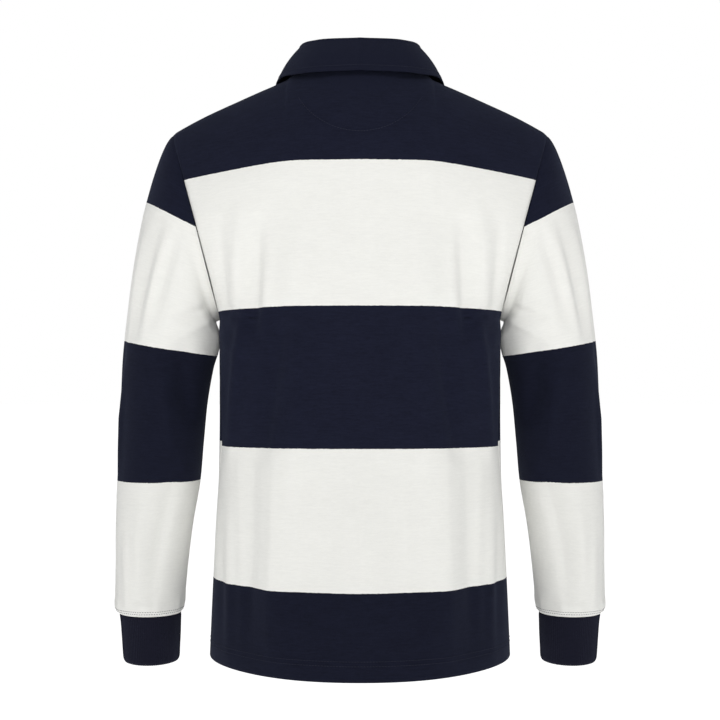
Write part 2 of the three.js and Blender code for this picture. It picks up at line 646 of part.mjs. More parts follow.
function add(name, geometry, colour, roughness) {
  const material = new THREE.MeshStandardMaterial({ color: colour, roughness, metalness: 0 });
  const mesh = new THREE.Mesh(geometry, material);
  mesh.name = name;
  garment.add(mesh);
}

const backGrid = panelGrid('back', BACK_FOLDS);
const frontGrid = panelGrid('front', FRONT_FOLDS);
const leftSleeve = sleeveGrid();
const rightSleeve = mirrored(leftSleeve);
const leftCuff = cuffGrid();
const rightCuff = mirrored(leftCuff);
const collar = collarGrid();
const patch = patchGrid();
const wide = PLACKET.halfWidth + PLACKET.overlap;
const placketTop = placketGrid(PLACKET.cloth + SEAM_GAP, wide, -wide);
const placketUnder = placketGrid(-CLOTH - SEAM_GAP - 0.9, wide, -wide);

leftSleeve.gap = SLEEVE_GAP;
rightSleeve.gap = SLEEVE_GAP;

const grids = [backGrid, frontGrid, leftSleeve, rightSleeve, leftCuff, rightCuff, collar, patch];
grids.push(placketTop, placketUnder);
grids.forEach(noteSeams);

const panelCloth = (i) => (i <= 1 ? HEM_CLOTH : CLOTH);
const outsideSlit = (i, j) => i < SLIT_ROW || Math.abs(j + 0.5 - COLUMNS) > 1;

add('back', wall(backGrid, panelCloth), CREAM, 0.9);
add('front', wall(frontGrid, panelCloth, outsideSlit), CREAM, 0.9);
add('sleeve_left', wall(leftSleeve, () => CLOTH), CREAM, 0.9);
add('sleeve_right', wall(rightSleeve, () => CLOTH), CREAM, 0.9);
add('cuff_left', wall(leftCuff, () => CUFF_CLOTH), NAVY, 0.9);
add('cuff_right', wall(rightCuff, () => CUFF_CLOTH), NAVY, 0.9);
add('collar', wall(collar, () => COLLAR_CLOTH), NAVY, 0.85);
add('neck_patch', wall(patch, () => PATCH_CLOTH), NAVY, 0.9);
add('placket_top', wall(placketTop, () => PLACKET.cloth), NAVY, 0.85);
add('placket_under', wall(placketUnder, () => PLACKET.cloth), NAVY, 0.85);
BUTTON.heights.forEach((height, k) => add(`button_${k + 1}`, button(height), NAVY, 0.4));

export default garment;
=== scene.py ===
"""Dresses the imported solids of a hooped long-sleeved polo sweatshirt, filled out as it is worn.

Each cloth piece is a thin shell worked out from the same cut as its solid, on a finer grid and with more
folds. Sizes are millimetres until a mesh is made. +Z is up, the back faces +Y, the wearer's left is +X and
the origin is the middle of the neck.
"""

from itertools import zip_longest
import math

import bpy
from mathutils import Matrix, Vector
import numpy as np


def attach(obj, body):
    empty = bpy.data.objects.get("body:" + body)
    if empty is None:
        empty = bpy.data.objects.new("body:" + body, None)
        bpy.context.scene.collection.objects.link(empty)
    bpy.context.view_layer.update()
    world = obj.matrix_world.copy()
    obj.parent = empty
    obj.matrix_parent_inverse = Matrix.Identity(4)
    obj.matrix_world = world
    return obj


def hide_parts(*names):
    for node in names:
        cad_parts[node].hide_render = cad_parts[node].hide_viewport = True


MM = 0.001
PATTERN = "Knitting"  # the map that the hoops and the knit follow, in metres of cloth

# ---- sizes

JERSEY = 1.3  # thickness of the heavy knitted jersey
HEM_TURNED = 2.6  # the jersey turned up at the hem
COLLAR_CLOTH = 2.0
CUFF_CLOTH = 2.2
PATCH_CLOTH = 0.9
PLACKET_CLOTH = 1.4
SEAM_GAP = 0.3  # between pieces that are sewn together

NECK_HALF_WIDTH, NECK_BACK, NECK_FRONT, NECK_HEIGHT = 88, 64, 80, -1
NECK_BACK_RISE, NECK_FRONT_DROP = 5, 71
SHOULDER_X, SHOULDER_Z, SHOULDER_CROWN = 233, -69, 3.4
UNDERARM_X, UNDERARM_Z = 172.5, -300
ARMHOLE_DEPTH = {"back": 67, "front": 70}
ARMHOLE_SCOOP = {"back": 4.5, "front": 12}
OUTWARDS = {"back": 1, "front": -1}  # which way along Y
HEM_Z, HEM_DEPTH, HEM_RISE = -718, 24, 3
CUFF_TOP, CUFF_BOTTOM = -670, -731
SLIT_HALF_WIDTH, PLACKET_BOTTOM, PLACKET_TOP, PLACKET_OVERLAP = 15, -238, -74, 2
BUTTON_RADIUS, BUTTON_HEIGHTS = 6, (-96, -146, -196)
UNDER_STRIP_DEPTH = JERSEY + 1.4  # of its face behind the face of the front's cloth
PATCH_RADIUS, PATCH_DEPTH, PATCH_HALF_ANGLE, PATCH_BELOW_SEAM = 82, 3.4, 72, 1.5
COLLAR_FOLD, LEAF_LIFT, LEAF_BOW = 3.6, 6.8, 2.5
LEAF_BOW_OUT, LEAF_BOW_UP = 0.8, 0.6
COLLAR_END, STAND_FOOT_LIFT = 0.993, 1.2  # how far round the neck the stand's foot goes, and its height

PANEL_COLUMNS = 12  # the cut's columns from the middle of a panel to its edge
NECK_COLUMN = 5  # the column that ends at the side of the neck


def table(columns, *rows):
    """Rows of numbers under named columns. A row may leave out zeros at its end."""
    filled = zip_longest(*rows, fillvalue=0)
    return {name: np.array(values, float) for name, values in zip(columns.split(), filled)}


# Level sections of the body, hem first: half width, depth behind and in front of the side seams' plane, how
# far back the side seam has swung, and roundness, where 2 is an ellipse.
BODY = table(
    "z    side   back front seam back_round front_round",
    (-718, 187, 139, 126, 0, 1.95, 1.95),
    (-660, 184.5, 136, 125, 0, 2.05, 2.05),
    (-600, 181.5, 131, 124, 3, 2.2, 2.15),
    (-540, 178.5, 127, 123, 14, 2.3, 2.25),
    (-500, 175.5, 123, 122, 28, 2.4, 2.3),
    (-450, 174.5, 119, 121, 40, 2.45, 2.35),
    (-400, 174, 116, 121, 32, 2.55, 2.4),
    (-340, 173.5, 114, 121, 12, 2.9, 2.65),
    (-300, 172.5, 113, 121, 0, 3, 2.75),
)

# Depth of the chest and the upper back from the underarm, up 0, to the neck and shoulder seams, up 1.
CHEST = table(
    "up   back front back_round front_round",
    (0, 113, 121, 3, 2.75),
    (0.25, 113, 123, 2.75, 2.55),
    (0.50, 110, 119, 2.5, 2.4),
    (0.75, 105, 109, 2.4, 2.3),
    (1, 100, 97, 2.3, 2.3),
)

# Sections of the left sleeve from armhole to cuff: its lines under and over the arm, and its depth behind
# and in front of its middle.
SLEEVE = table(
    "at inner_x inner_z outer_x outer_z middle back front",
    (0, 172.5, -300, 233, -69, 0, 67, 70),
    (1, 181, -302.3, 242, -83, 0, 69, 71),
    (2, 180.3, -309.5, 251.5, -106, 0, 70, 71),
    (3, 177, -322, 262, -139, 0, 69, 70),
    (4, 177, -329, 273.5, -184, -1, 68, 69),
    (5, 177.8, -337, 284, -240, -2, 66, 67),
    (6, 179.5, -347, 291, -292, -3, 64, 65),
    (7, 184, -363, 297, -346, -4, 62, 63),
    (8, 191, -403, 299.5, -397, -5, 59, 60),
    (9, 196, -452, 301.5, -449, -7, 56, 57),
    (10, 201, -502, 304.5, -501, -10, 52, 54),
    (11, 210.5, -553, 307.8, -553, -14, 48, 50),
    (12, 217.7, -604, 309, -604, -20, 45, 46),
    (13, 222, -643, 310, -643, -24, 43, 43),
    (14, 224, -661, 310.2, -661, -25.5, 41.5, 42),
    (15, 226, -669.7, 306.8, -669.7, -26, 39, 39),
)
SLEEVE_END = SLEEVE["at"][-1]

CUFF = table(
    "z    inner_x outer_x middle half",
    (-670, 226.2, 306.2, -26, 38.8),
    (-676, 227.3, 304.2, -26.6, 37.8),
    (-696, 228.2, 302.8, -28.8, 37.4),
    (-716, 229.4, 301.8, -30.6, 37),
    (-728, 230.2, 300.8, -31.4, 36.8),
    (-731, 231.8, 299.2, -31.6, 36),
)

# Half of the collar from the middle of the back, turn 0, to its front end, turn 1: the crest where it folds
# over, and the free edge of the leaf.
COLLAR = table(
    "turn crest_x crest_y crest_z edge_x edge_y edge_z",
    (0, 0, 60, 39, 0, 76, -3),
    (0.25, 54, 46, 39.5, 70, 61, -4),
    (0.50, 77, 3, 39, 104, 6, -4),
    (0.70, 66, -40, 14, 103, -55, -38),
    (0.85, 38, -68, -18, 82, -86, -80),
    (1, 5, -80, -42, 47, -106, -116),
)

# Folds. Each runs from its top to its bottom and dies away at both ends. Its height is how far it stands
# out, and a trough's is negative. Where lean is above 0 its side towards the middle of the panel is steeper.
# The tops and bottoms are places across the panel and heights.
BACK_FOLDS = table(
    "top top_z bottom bottom_z width height lean",
    (137, -276, 160, -478, 7, 6.5),
    (88, -278, 118, -478, 15, -7.5, 0.3),
    (64, -300, 84, -520, 13, 2.2),
    (97, -425, 105, -716, 20, 4.5, -0.5),
    (128, -415, 136, -705, 20, -8, 0.35),
    (147, -450, 143, -700, 6, 2.2),
    (158, -490, 160, -716, 7, 3.2),
    (170, -520, 166, -700, 6, -2.6),
    (118, -178, 126, -330, 12, -6.2, 0.45),
    (106, -205, 113, -325, 7, 2.8),
    (143, -160, 148, -300, 9, 3.4),
    (168, -178, 160, -318, 8, -4.8),
    (76, -190, 86, -330, 15, 3),
    (52, -260, 62, -420, 18, -2.4),
    (40, -470, 46, -700, 20, -2.4),
    (66, -440, 70, -705, 13, -2.6, 0.2),
    (18, -470, 12, -700, 18, 1.8),
    (172, -278, 118, -318, 6, -2.2),
    (176, -306, 146, -350, 7, 2),
)
FRONT_FOLDS = table(
    "top top_z bottom bottom_z width height lean",
    (150, -170, 96, -330, 14, -5.6, 0.2),
    (128, -160, 82, -290, 9, 2.7),
    (166, -215, 112, -345, 8, 3.1),
    (116, -320, 126, -690, 18, -6.4, 0.3),
    (62, -300, 72, -600, 22, 3.6),
    (92, -390, 100, -700, 11, 2.4),
    (150, -420, 150, -716, 14, 4.5),
    (30, -270, 44, -520, 16, -2.5),
    (46, -500, 40, -716, 15, -2.2),
    (158, -290, 132, -430, 8, -3.1),
    (12, -560, 18, -716, 13, 1.7),
)
# Across the sleeve is an angle: 0 under the arm, 90 behind, 180 over and 270 in front of it.
SLEEVE_FOLDS = table(
    "top top_z bottom bottom_z width height lean",
    (12, -272, 8, -350, 14, 4.2),
    (96, -186, 106, -312, 9, -4.8),
    (110, -196, 118, -330, 7, 2.4),
    (120, -172, 132, -335, 12, -5.1, 0.2),
    (146, -185, 150, -345, 9, 3),
    (158, -172, 160, -420, 12, -4.8),
    (150, -348, 156, -505, 7, 3.3),
    (30, -282, 82, -300, 5, -2.7),
    (26, -300, 70, -318, 5, 2.2),
    (72, -325, 42, -432, 14, -6.9),
    (88, -350, 66, -470, 9, 2.8),
    (60, -470, 82, -655, 15, -5.1, 0.2),
    (104, -500, 106, -650, 10, 2.5),
    (130, -560, 120, -664, 9, 3),
    (168, -520, 160, -660, 10, -2.8),
    (235, -200, 250, -350, 15, -5.7),
    (214, -180, 224, -360, 10, 3),
    (268, -230, 286, -350, 9, 3.3),
    (300, -350, 270, -520, 17, -6),
    (330, -310, 282, -330, 6, -3.3),
    (322, -332, 276, -352, 6, 2.5),
    (318, -360, 270, -392, 8, -3.9),
    (250, -420, 262, -620, 12, 3.3),
    (215, -570, 225, -664, 10, 3),
    (292, -560, 284, -660, 12, -3.3),
)
MM_PER_DEGREE = 1.05  # round a sleeve
SLEEVE_RADIUS, SLEEVE_END_RADIUS, CUFF_RADIUS = 60, 40, 38

# Pleats of the sleeve where it is eased onto the cuff: how many, and the usual size and the spread of each
# one's reach above the cuff, width and height.
GATHERS = 17
GATHER_REACH, GATHER_WIDTH, GATHER_HEIGHT = (24, 10), (4.5, 1.2), (1.3, 0.5)

# ---- reading the tables


def mix(a, b, f):
    return a + (b - a) * f


def bounded(value, low=0.0, high=1.0):
    return np.clip(value, low, high)


def root_of(value):
    return np.sqrt(np.maximum(0, value))


def read(rows, column, at):
    """One column of a table, at places in its first column, on a smooth curve through the rows."""
    keys, values = next(iter(rows.values())), rows[column]
    rising = 1 if keys[-1] > keys[0] else -1
    at = np.asarray(at, float)
    low = np.clip(np.searchsorted(rising * keys, rising * at) - 1, 0, len(keys) - 2)
    high, before, after = low + 1, np.maximum(0, low - 1), np.minimum(len(keys) - 1, low + 2)
    span = keys[high] - keys[low]
    f = bounded((at - keys[low]) / span)
    slope_low = span * (values[high] - values[before]) / (keys[high] - keys[before])
    slope_high = span * (values[after] - values[low]) / (keys[after] - keys[low])
    return (
        (2 * f**3 - 3 * f**2 + 1) * values[low]
        + (f**3 - 2 * f**2 + f) * slope_low
        + (3 * f**2 - 2 * f**3) * values[high]
        + (f**3 - f**2) * slope_high
    )


def points_of(x, y, z):
    return np.stack(np.broadcast_arrays(x, y, z), axis=-1).astype(float)


def unit(vectors):
    return vectors / np.maximum(np.linalg.norm(vectors, axis=-1, keepdims=True), 1e-9)


def normals_of(points, joined=False):
    """The outward direction at each point of a grid whose rows go up and whose columns go along it."""
    up = np.gradient(points, axis=0)
    if joined:
        along = (np.roll(points, -1, axis=1) - np.roll(points, 1, axis=1)) / 2
    else:
        along = np.gradient(points, axis=1)
    return unit(np.cross(up, along))


def pushed_out(points, height, joined=False):
    height = np.broadcast_to(height, points.shape[:2])
    return points + normals_of(points, joined) * height[..., None]


def fold_height(folds, across, z, mm_per_unit=1.0):
    """How far the folds move the cloth at places across and heights z."""
    height = np.zeros(np.broadcast(across, z).shape)
    for k in range(len(folds["height"])):
        fold = {name: values[k] for name, values in folds.items()}
        run_x = (fold["bottom"] - fold["top"]) * mm_per_unit
        run_z = fold["bottom_z"] - fold["top_z"]
        length = math.hypot(run_x, run_z)
        x, up = (across - fold["top"]) * mm_per_unit, z - fold["top_z"]
        down = (x * run_x + up * run_z) / length**2
        away = (up * run_x - x * run_z) / length / fold["width"]
        away = away / (1 + fold["lean"] * np.sign(away))
        ends = np.sin(math.pi * bounded(down)) ** 0.8
        height += fold["height"] * np.exp(-away * away) * ends
    return height


def varied(size, phase):
    """A usual size, changed by its spread at one phase of a wave."""
    usual, spread = size
    return usual + spread * math.sin(phase)


def gathered(angle, z):
    """Small uneven pleats above the cuff, all round the sleeve."""
    height = np.zeros(np.broadcast(angle, z).shape)
    for k in range(GATHERS):
        middle = 2 * math.pi * varied((k, 0.3), 2.3 * k) / GATHERS
        away = np.sin((angle - middle) / 2) * 2 * SLEEVE_END_RADIUS / varied(GATHER_WIDTH, 3.1 * k)
        above = bounded((z - CUFF_TOP) / varied(GATHER_REACH, 1.7 * k + 1))
        height += varied(GATHER_HEIGHT, 2.9 * k) * np.exp(-away * away) * np.sin(math.pi * above**0.7)
    return height


def unevenness(across, z, size=0.45):
    """The slight waviness of cloth that hangs freely."""
    long_waves = np.sin(across / 31 + z / 57) + 0.8 * np.sin(across / 19 - z / 83 + 1.3)
    return size * (long_waves + 0.5 * np.sin(across / 11 + z / 29 + 2.1) * np.sin(z / 47))


# ---- the body's surface


def top_x(column):
    """Where a panel's column meets the neck seam or, further out, the shoulder seam."""
    slit_angle = math.asin(SLIT_HALF_WIDTH / NECK_HALF_WIDTH)
    turn = mix(slit_angle, math.pi / 2, (column - 1) / (NECK_COLUMN - 1))
    shoulder = (column - NECK_COLUMN) / (PANEL_COLUMNS - NECK_COLUMN)
    beside_neck = NECK_HALF_WIDTH * np.sin(turn)
    over_shoulder = mix(NECK_HALF_WIDTH, SHOULDER_X, shoulder)
    return np.where(
        column <= 1, SLIT_HALF_WIDTH * column, np.where(column <= NECK_COLUMN, beside_neck, over_shoulder)
    )


def top_seam(side, x):
    """Height and depth of the neck and shoulder seam above a place across."""
    around_neck = root_of(1 - (x / NECK_HALF_WIDTH) ** 2)
    shoulder = bounded((x - NECK_HALF_WIDTH) / (SHOULDER_X - NECK_HALF_WIDTH))
    rise = NECK_BACK_RISE if side == "back" else -NECK_FRONT_DROP
    depth = NECK_BACK if side == "back" else NECK_FRONT
    crown = SHOULDER_CROWN * np.sin(math.pi * shoulder**1.4)
    return mix(NECK_HEIGHT, SHOULDER_Z, shoulder) + rise * around_neck + crown, depth * around_neck


def armhole_reach(up):
    return root_of(4 * up * (1 - up))


def armhole_x(side, up):
    return mix(UNDERARM_X, SHOULDER_X, up) - ARMHOLE_SCOOP[side] * armhole_reach(up) ** 2


def section_line(side, z, steps=400):
    """The body's half section at a height, from the middle of a panel to the side seam."""
    size = {name: read(BODY, name, z) for name in BODY}
    swing = max(0.0, float(size["seam"])) / size["back"]
    seam_angle = math.acos(swing ** (size["back_round"] / 2))
    last = seam_angle if side == "back" else math.pi - seam_angle
    angle = np.linspace(0, last, steps + 1)
    behind = (np.cos(angle) >= 0) == (side == "back")
    rounding = np.where(behind, size["back_round"], size["front_round"])
    depth = np.where(behind, size["back"], -size["front"])
    y = depth * np.abs(np.cos(angle)) ** (2 / rounding)
    return size["side"] * np.sin(angle) ** (2 / rounding), y


def body_row(side, z, columns):
    """Points along the half section, evenly spaced from the slit's column to the side seam."""
    x, y = section_line(side, z)
    length = np.concatenate([[0], np.cumsum(np.hypot(np.diff(x), np.diff(y)))])
    beyond_slit = mix(SLIT_HALF_WIDTH, length[-1], (columns - 1) / (PANEL_COLUMNS - 1))
    wanted = np.where(columns < 1, SLIT_HALF_WIDTH * columns, beyond_slit)
    x, y = np.interp(wanted, length, x), np.interp(wanted, length, y)
    low = bounded((HEM_Z + 4 * HEM_DEPTH - z) / (4 * HEM_DEPTH))
    return points_of(x, y, z + HEM_RISE * low * (x / BODY["side"][0]) ** 4)


FINE_COLUMNS = np.linspace(0, PANEL_COLUMNS, 721)
UNDERARM_ROW = {side: body_row(side, UNDERARM_Z, FINE_COLUMNS)[:, 0] for side in ("back", "front")}


# The column beyond which the chest's roll over to the top seams widens, and how far down it reaches, in
# shares of the chest's height.
ROLL_COLUMN, ROLL_DEPTHS = 0.6 * NECK_COLUMN, (0.36, 0.5)


def chest_x(side, column, up):
    underarm = np.interp(column, FINE_COLUMNS, UNDERARM_ROW[side])
    share = mix(underarm / UNDERARM_X, top_x(column) / SHOULDER_X, up)
    return np.where(column <= 1, SLIT_HALF_WIDTH * column, armhole_x(side, up) * share)


def chest_depth(side, column, up, x):
    """Depth of the chest or the upper back, which rolls over to the seam towards the shoulder."""
    middle = read(CHEST, side, up)
    rounding = read(CHEST, f"{side}_round", up)
    at_armhole = ARMHOLE_DEPTH[side] * np.where(up < 0.5, armhole_reach(up), 1)
    whole = armhole_x(side, up) / (1 - (at_armhole / middle) ** rounding) ** (1 / rounding)
    body = middle * np.maximum(0, 1 - (x / whole) ** rounding) ** (1 / rounding)
    _, seam = top_seam(side, top_x(column))
    outwards = bounded(column / ROLL_COLUMN - 1)
    below = bounded((1 - up) / mix(*ROLL_DEPTHS, outwards))
    roll = (1 - (1 - below) ** 2) ** (1 / mix(1, 2, outwards))
    return mix(seam, body, roll)


def chest_points(side, column, up):
    x = chest_x(side, column, up)
    top, _ = top_seam(side, top_x(column))
    return points_of(x, OUTWARDS[side] * chest_depth(side, column, up, x), mix(UNDERARM_Z, top, up))


def chest_at(side, x, z):
    """Points of the chest's or the upper back's cloth at places across and heights."""
    place, z = np.broadcast_arrays(np.asarray(x, float), np.asarray(z, float))
    x = np.abs(place)
    low, high = np.zeros(x.shape), np.full(x.shape, float(PANEL_COLUMNS))
    for _ in range(40):
        column = (low + high) / 2
        top, _ = top_seam(side, top_x(column))
        up = bounded((z - UNDERARM_Z) / (top - UNDERARM_Z))
        inside = chest_x(side, column, up) < x
        low, high = np.where(inside, column, low), np.where(inside, high, column)
    return points_of(place, OUTWARDS[side] * chest_depth(side, column, up, x), z)


def strip_on_chest(side, x, z, lift):
    """A grid that follows the cloth at a distance outside it, or inside it where lift is negative."""
    points = pushed_out(chest_at(side, x, z), lift)
    return points, points[..., [0, 2]]


# ---- where the hoops lie

# Knit heights at which the panels and the sleeves change colour, from the top down.
BODY_HOOPS = (-115.5, -286.5, -453, -618)
SLEEVE_HOOPS = (-173, -336, -500)

# How far a hoop lies below its height at the sides of a panel, and how much the sleeve's hoops slope.
HOOP_DROP = table(
    "z back front",
    (-720, 0, 0), (-618, -1, -1), (-453, 1.3, -4.8), (-286, 5, 4), (-115, 14, 12),
)
HOOP_SLOPE = table("z slope middle_x", (-700, 0, 265), (-500, 0, 252), (-336, 0.16, 240), (-173, 0.53, 231))
DROP_FROM, DROP_WIDTH, DROP_SOFTNESS = 88, 90, 24


def panel_knit_height(side, points):
    """How far up the knitting each point of a panel is."""
    beyond = np.abs(points[..., 0]) - DROP_FROM
    reach = (beyond + np.sqrt(beyond**2 + DROP_SOFTNESS**2)) / 2 / DROP_WIDTH
    return points[..., 2] + read(HOOP_DROP, side, points[..., 2]) * reach


def sleeve_knit_height(points):
    x, z = np.abs(points[..., 0]), points[..., 2]
    return z - read(HOOP_SLOPE, "slope", z) * (x - read(HOOP_SLOPE, "middle_x", z))


# ---- grids of the cloth pieces

BODY_CELLS, ARMHOLE_CELLS, HALF_PANEL_CELLS = 132, 84, 96
SLEEVE_CELLS, AROUND_SLEEVE = 230, 168
PLAIN_ABOVE_CUFF, PLAIN_BELOW_ARMHOLE = 1.5, 2.25  # sections of the sleeve over which its folds set in
CUFF_CELLS, AROUND_CUFF, CUFF_RIBS, RIB_DEPTH = 36, 528, 88, 0.35
SEAM_DITCH, DITCH_WIDTH = 1.3, 3.2  # how deep and how wide the cloth dips along a seam


def ditch(distance):
    """The dip of the cloth at a distance from a seam."""
    return -SEAM_DITCH * np.exp(-((distance / DITCH_WIDTH) ** 2))


def distance_along(points, axis):
    """How far along its row or column each point of a grid is."""
    steps = np.linalg.norm(np.diff(points, axis=axis), axis=-1)
    start = np.zeros_like(np.take(steps, [0], axis=axis))
    return np.concatenate([start, np.cumsum(steps, axis=axis)], axis=axis)


EASED_OVER = 70  # height above the underarm within which the easing sets in
EASED_TOP_ROWS = 5  # rows below the top seams within which it dies away
EASING_PASSES = 220
UNDERARM_EASE = 30  # half the height over which the side's bend at the underarm is eased
UNDERARM_CROWDING, TOP_CROWDING = 1.5, 1.3  # how much closer together the chest's rows lie at its ends


def eased(points):
    """Spreads out the corner between neck and shoulder seam, and the bend at the underarm's height."""
    depth = points[..., 1]
    row = np.arange(len(points))
    share = bounded((points[..., 2].mean(axis=1) - UNDERARM_Z) / EASED_OVER)
    share *= bounded((row[-1] - row) / EASED_TOP_ROWS)
    for _ in range(EASING_PASSES):
        bend = depth[:, :-2] + depth[:, 2:] - 2 * depth[:, 1:-1]
        depth[:, 1:-1] += share[:, None] * bend / 2
    near_underarm = bounded(1.5 - np.abs(points[..., 2] - UNDERARM_Z) / UNDERARM_EASE)
    for _ in range(EASING_PASSES // 4):
        bend = depth[:-2] + depth[2:] - 2 * depth[1:-1]
        depth[1:-1] += near_underarm[1:-1] * bend / 2
    return points


def panel_grid(side, folds):
    """A whole panel from hem to shoulder. Its columns run so that the cloth's outside is always outside."""
    columns = np.linspace(-PANEL_COLUMNS, PANEL_COLUMNS, 2 * HALF_PANEL_CELLS + 1)
    across = np.abs(columns)
    rows = [body_row(side, z, across) for z in np.linspace(HEM_Z, UNDERARM_Z, BODY_CELLS + 1)]
    share = np.arange(1, ARMHOLE_CELLS + 1) / ARMHOLE_CELLS
    ups = 1 - (1 - share**UNDERARM_CROWDING) ** TOP_CROWDING
    rows += [chest_points(side, across, up) for up in ups]
    points = eased(np.stack(rows))
    points[..., 0] *= np.sign(columns) * OUTWARDS[side]
    height = panel_knit_height(side, points)
    fade = 1 - (across / PANEL_COLUMNS) ** 8
    across, z = np.abs(points[..., 0]), points[..., 2]
    folded = fold_height(folds, across, z) + unevenness(across, z)
    points = pushed_out(points, fade * folded)
    along = distance_along(points, 1)
    from_sides = np.minimum(along, along[:, -1:] - along)
    up = distance_along(points, 0)
    from_top = up[-1:] - up
    points = pushed_out(points, ditch(from_sides) + ditch(from_top))
    return points, np.stack([along - along[:, -1:] / 2, height], axis=-1)


def sleeve_ring(at, angle):
    """Points of the left sleeve's section. The angle is 0 under the arm and half pi behind it."""
    across = (1 - np.cos(angle)) / 2
    behind = np.sin(angle) > 0
    size = {name: read(SLEEVE, name, at) for name in SLEEVE}
    scoop = np.where(behind, ARMHOLE_SCOOP["back"], ARMHOLE_SCOOP["front"])
    x = mix(size["inner_x"], size["outer_x"], across) - scoop * np.sin(angle) ** 2 * np.maximum(0, 1 - at / 3)
    y = size["middle"] + np.where(behind, size["back"], size["front"]) * np.sin(angle)
    return points_of(x, y, mix(size["inner_z"], size["outer_z"], across))


def sleeve_grid():
    at = np.linspace(SLEEVE_END, 0, SLEEVE_CELLS + 1)[:, None]
    angle = (2 * math.pi * np.arange(AROUND_SLEEVE) / AROUND_SLEEVE)[None, :]
    points = sleeve_ring(at, angle)
    height = sleeve_knit_height(points)
    ends = np.minimum(1, np.minimum((SLEEVE_END - at) / PLAIN_ABOVE_CUFF, at / PLAIN_BELOW_ARMHOLE))
    degrees, z = np.degrees(angle), points[..., 2]
    folds = fold_height(SLEEVE_FOLDS, degrees, z, MM_PER_DEGREE)
    folds += 0.5 * unevenness(SLEEVE_RADIUS * np.sin(angle), z) + gathered(angle, z)
    points = pushed_out(points, ends * folds, joined=True)
    up = distance_along(points, 0)
    points = pushed_out(points, ditch(up) + ditch(up[-1:] - up), joined=True)
    return points, np.stack(np.broadcast_arrays(angle * SLEEVE_RADIUS, height), axis=-1)


def cuff_grid():
    z = np.linspace(CUFF_BOTTOM, CUFF_TOP, CUFF_CELLS + 1)[:, None]
    angle = (2 * math.pi * np.arange(AROUND_CUFF) / AROUND_CUFF)[None, :]
    names = ("inner_x", "outer_x", "middle", "half")
    inner, outer, middle, half = (read(CUFF, name, z) for name in names)
    points = points_of(mix(inner, outer, (1 - np.cos(angle)) / 2), middle + half * np.sin(angle), z)
    ribs = RIB_DEPTH * (np.cos(CUFF_RIBS * angle) - 1) / 2
    points = pushed_out(points, ribs + ditch(CUFF_TOP - z), joined=True)
    return points, np.stack(np.broadcast_arrays(angle * CUFF_RADIUS, z), axis=-1)


def mirrored(grid):
    """The same grid on the wearer's right. Its columns run the other way, so its outside stays outside."""
    points, pattern = grid
    return points[:, ::-1] * (-1, 1, 1), pattern[:, ::-1]


# ---- collar, patch and placket


def neck_seam(turn):
    """The neck seam from the middle of the back, turn 0, to the middle of the front, turn 1."""
    x = NECK_HALF_WIDTH * np.sin(math.pi * turn)
    back_z, back = top_seam("back", x)
    front_z, front = top_seam("front", x)
    return points_of(x, np.where(turn < 0.5, back, -front), np.where(turn < 0.5, back_z, front_z))


def lifted_off_chest(points):
    """Points of the leaf, moved out where the chest or the upper back would be in their way."""
    x = np.maximum(points[..., 0], 0)
    for side, sign in OUTWARDS.items():
        top, _ = top_seam(side, x)
        needed = np.abs(chest_at(side, x, points[..., 2])[..., 1]) + LEAF_LIFT
        near = (points[..., 2] <= top) & (points[..., 1] * sign > 0) & (points[..., 1] * sign < needed)
        points[..., 1] = np.where(near, sign * needed, points[..., 1])
    return points


HALF_COLLAR_CELLS, STAND_CELLS, FOLD_CELLS, LEAF_CELLS = 80, 10, 10, 26
PATCH_CELLS, PLACKET_LENGTH_CELLS, PLACKET_WIDTH_CELLS = 60, 82, 16


def collar_grid():
    """The collar's visible face, from front end to front end: up the stand, over the fold, down the leaf."""
    turn = np.abs(np.linspace(-1, 1, 2 * HALF_COLLAR_CELLS + 1))
    crest = points_of(*(read(COLLAR, f"crest_{axis}", turn) for axis in "xyz"))
    edge = points_of(*(read(COLLAR, f"edge_{axis}", turn) for axis in "xyz"))
    out = unit((edge - crest) * (1, 1, 0))
    up = np.array([0, 0, 1])
    foot = neck_seam(np.minimum(turn, COLLAR_END))
    base = foot - out * (COLLAR_CLOTH + 2 * SEAM_GAP) + up * STAND_FOOT_LIFT
    stand_top = crest - out * 2 * COLLAR_FOLD - up * COLLAR_FOLD
    rows = [mix(base, stand_top, k / STAND_CELLS) for k in range(STAND_CELLS)]
    for bend in np.linspace(0, math.pi, FOLD_CELLS + 1):
        over, rise = 1 + math.cos(bend), math.sin(bend) - 1
        rows.append(crest - out * COLLAR_FOLD * over + up * COLLAR_FOLD * rise)
    leaf_top = rows[-1]
    for k in range(1, LEAF_CELLS + 1):
        bow = LEAF_BOW * math.sin(math.pi * k / LEAF_CELLS)
        bowed = out * bow * LEAF_BOW_OUT + up * bow * LEAF_BOW_UP
        rows.append(lifted_off_chest(mix(leaf_top, edge, k / LEAF_CELLS) + bowed))
    points = np.stack(rows)
    points[..., 0] *= np.sign(np.linspace(1, -1, 2 * HALF_COLLAR_CELLS + 1))
    return points, np.stack([distance_along(points, 1), distance_along(points, 0)], axis=-1)


def patch_grid():
    """The half-moon patch inside the back of the neck."""
    angle = np.radians(np.linspace(-PATCH_HALF_ANGLE, PATCH_HALF_ANGLE, PATCH_CELLS + 1))[None, :]
    x = PATCH_RADIUS * np.sin(angle)
    top, _ = top_seam("back", x)
    share = np.linspace(0, 1, PATCH_CELLS // 2 + 1)[:, None]
    z = mix(-PATCH_RADIUS * np.cos(angle), top - PATCH_BELOW_SEAM, share)
    return strip_on_chest("back", x, z, -PATCH_DEPTH)


